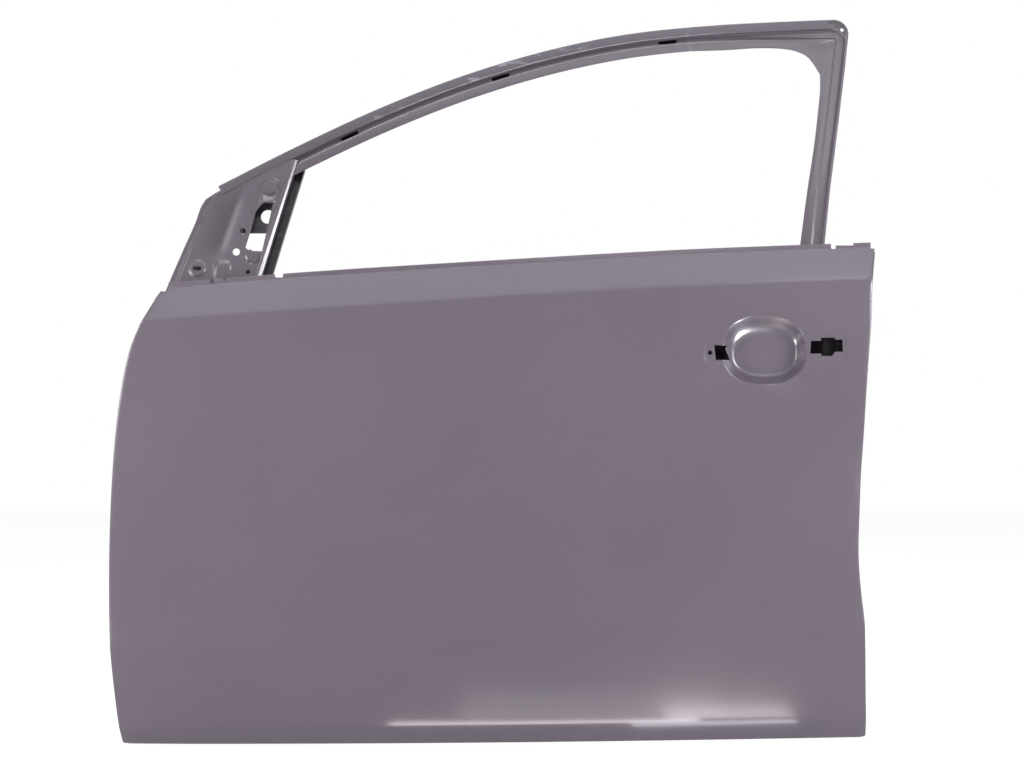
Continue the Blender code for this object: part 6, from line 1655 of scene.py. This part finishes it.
def make_floor():
    """A pale matt floor under the door that shows nearly white and keeps a little of the shadow."""
    bm = bmesh.new()
    bmesh.ops.create_grid(bm, x_segments=1, y_segments=1, size=FLOOR_HALF)
    floor = link_new("floor", mesh_from(bm, "floor"))
    floor.location = (*FLOOR_MIDDLE, float(GRID_ORIGIN[2]) - FLOOR_GAP)
    material, tree, shader = new_surface("pale_floor")
    shader.inputs["Base Color"].default_value = FLOOR_COLOUR
    shader.inputs["Roughness"].default_value = FLOOR_ROUGHNESS
    glow = node(tree, "Emission", {"Strength": FLOOR_GLOW})
    seen = node(tree, "MapRange", {"Value": background_rays(tree), "To Max": FLOOR_GLOW_SHARE}).outputs[0]
    choose = node(tree, "MixShader", {0: seen, 1: shader.outputs[0], 2: glow.outputs[0]})
    tree.links.new(choose.outputs[0], tree.nodes["Material Output"].inputs["Surface"])
    floor.data.materials.append(material)


# Operators and panel


class DoorSizes(bpy.types.PropertyGroup):
    recess_depth: bpy.props.FloatProperty(
        name="Recess depth", description="Depth of the hand recess under the pull handle",
        default=0.021, min=0.005, max=0.04, unit="LENGTH",
    )
    emboss_depth: bpy.props.FloatProperty(
        name="Emboss depth", description="Depth of the lines pressed into the damping sheet",
        default=0.0007, min=0.0, max=0.0015, unit="LENGTH",
    )
    plate_edge: bpy.props.FloatProperty(
        name="Plate edges", description="Width of the broken edges of the plates, brackets and nuts",
        default=0.0005, min=0.0, max=0.001, unit="LENGTH",
    )
    primer_colour: bpy.props.FloatVectorProperty(
        name="Primer colour", description="Colour of the dip primer on the skin and the inner panel",
        default=PRIMER_COLOURS["film"], size=4, min=0.0, max=1.0, subtype="COLOR",
    )
    primer_roughness: bpy.props.FloatProperty(
        name="Primer roughness", description="Roughness of the dip primer's film; lower is glossier",
        default=0.25, min=0.05, max=0.95, subtype="FACTOR",
    )
    rinse_marks: bpy.props.FloatProperty(
        name="Rinse marks", description="Strength of the pale patches of dried rinse on the header",
        default=0.55, min=0.0, max=1.0, subtype="FACTOR",
    )
    mastic_colour: bpy.props.FloatVectorProperty(
        name="Mastic colour", description="Colour of the mastic beads in their pits",
        default=MASTIC_COLOURS["deep"], size=4, min=0.0, max=1.0, subtype="COLOR",
    )


class DOOR_OT_stage(bpy.types.Operator):
    """Sets up the camera, the pale floor and the soft studio light"""
    bl_idname = "door.stage"
    bl_label = "Stage"

    def execute(self, context):
        make_camera(context.scene)
        make_room(context.scene)
        make_lamps()
        make_floor()
        return {"FINISHED"}


class DOOR_OT_finishes(bpy.types.Operator):
    """Makes the primer, mastic and bitumen surfaces"""
    bl_idname = "door.finishes"
    bl_label = "Finishes"

    def execute(self, context):
        make_finishes(context.scene.door_sizes)
        dress_nodes()
        return {"FINISHED"}


class DOOR_OT_skin(bpy.types.Operator):
    """Presses the outer skin with its creases, hand recess, belt flange and hems"""
    bl_idname = "door.skin"
    bl_label = "Outer skin"

    def execute(self, context):
        new_piece(make_skin_mesh(), "skin_panel", ["primer"], ["outer_skin"], SKIN_SHEET,
                  angle=38, cutters=skin_cutters())
        return {"FINISHED"}


class DOOR_OT_window_frame(bpy.types.Operator):
    """Makes the header, the rear corner and the pillar"""
    bl_idname = "door.window_frame"
    bl_label = "Window frame"

    def execute(self, context):
        make_header()
        make_rear_corner()
        return {"FINISHED"}


class DOOR_OT_front_corner(bpy.types.Operator):
    """Makes the glass channels, the mirror corner and its carrier"""
    bl_idname = "door.front_corner"
    bl_label = "Front corner"

    def execute(self, context):
        make_front_channel()
        make_rear_channel()
        make_mirror_corner()
        make_mirror_carrier()
        return {"FINISHED"}


class DOOR_OT_inner_panel(bpy.types.Operator):
    """Presses the inner panel with its walls, pads, openings and beads"""
    bl_idname = "door.inner_panel"
    bl_label = "Inner panel"

    def execute(self, context):
        make_inner_panel()
        return {"FINISHED"}


class DOOR_OT_reinforcements(bpy.types.Operator):
    """Makes the beam, the mastic beads and the damping sheet, and breaks the plates' edges"""
    bl_idname = "door.reinforcements"
    bl_label = "Beam and reinforcements"

    def execute(self, context):
        make_beam()
        make_mastic()
        make_damping_sheet()
        round_plate_edges()
        return {"FINISHED"}


class DOOR_PT_panel(bpy.types.Panel):
    """Lists the door's steps in the sidebar"""
    bl_idname = "DOOR_PT_panel"
    bl_label = "Door shell"
    bl_space_type = "VIEW_3D"
    bl_region_type = "UI"
    bl_category = "Door shell"

    def draw(self, context):
        for name in DoorSizes.__annotations__:
            self.layout.prop(context.scene.door_sizes, name)
        for step in STEPS:
            self.layout.operator(step.bl_idname)


STEPS = (
    DOOR_OT_stage, DOOR_OT_finishes, DOOR_OT_skin, DOOR_OT_window_frame, DOOR_OT_front_corner,
    DOOR_OT_inner_panel, DOOR_OT_reinforcements,
)
CLASSES = (DoorSizes, *STEPS, DOOR_PT_panel)


def register():
    for item in CLASSES:
        bpy.utils.register_class(item)
    bpy.types.Scene.door_sizes = bpy.props.PointerProperty(type=DoorSizes)


def unregister():
    del bpy.types.Scene.door_sizes
    for item in reversed(CLASSES):
        bpy.utils.unregister_class(item)


def main():
    register()
    for step in STEPS:
        group, name = step.bl_idname.split(".")
        getattr(getattr(bpy.ops, group), name)()


if __name__ == "__main__":
    main()
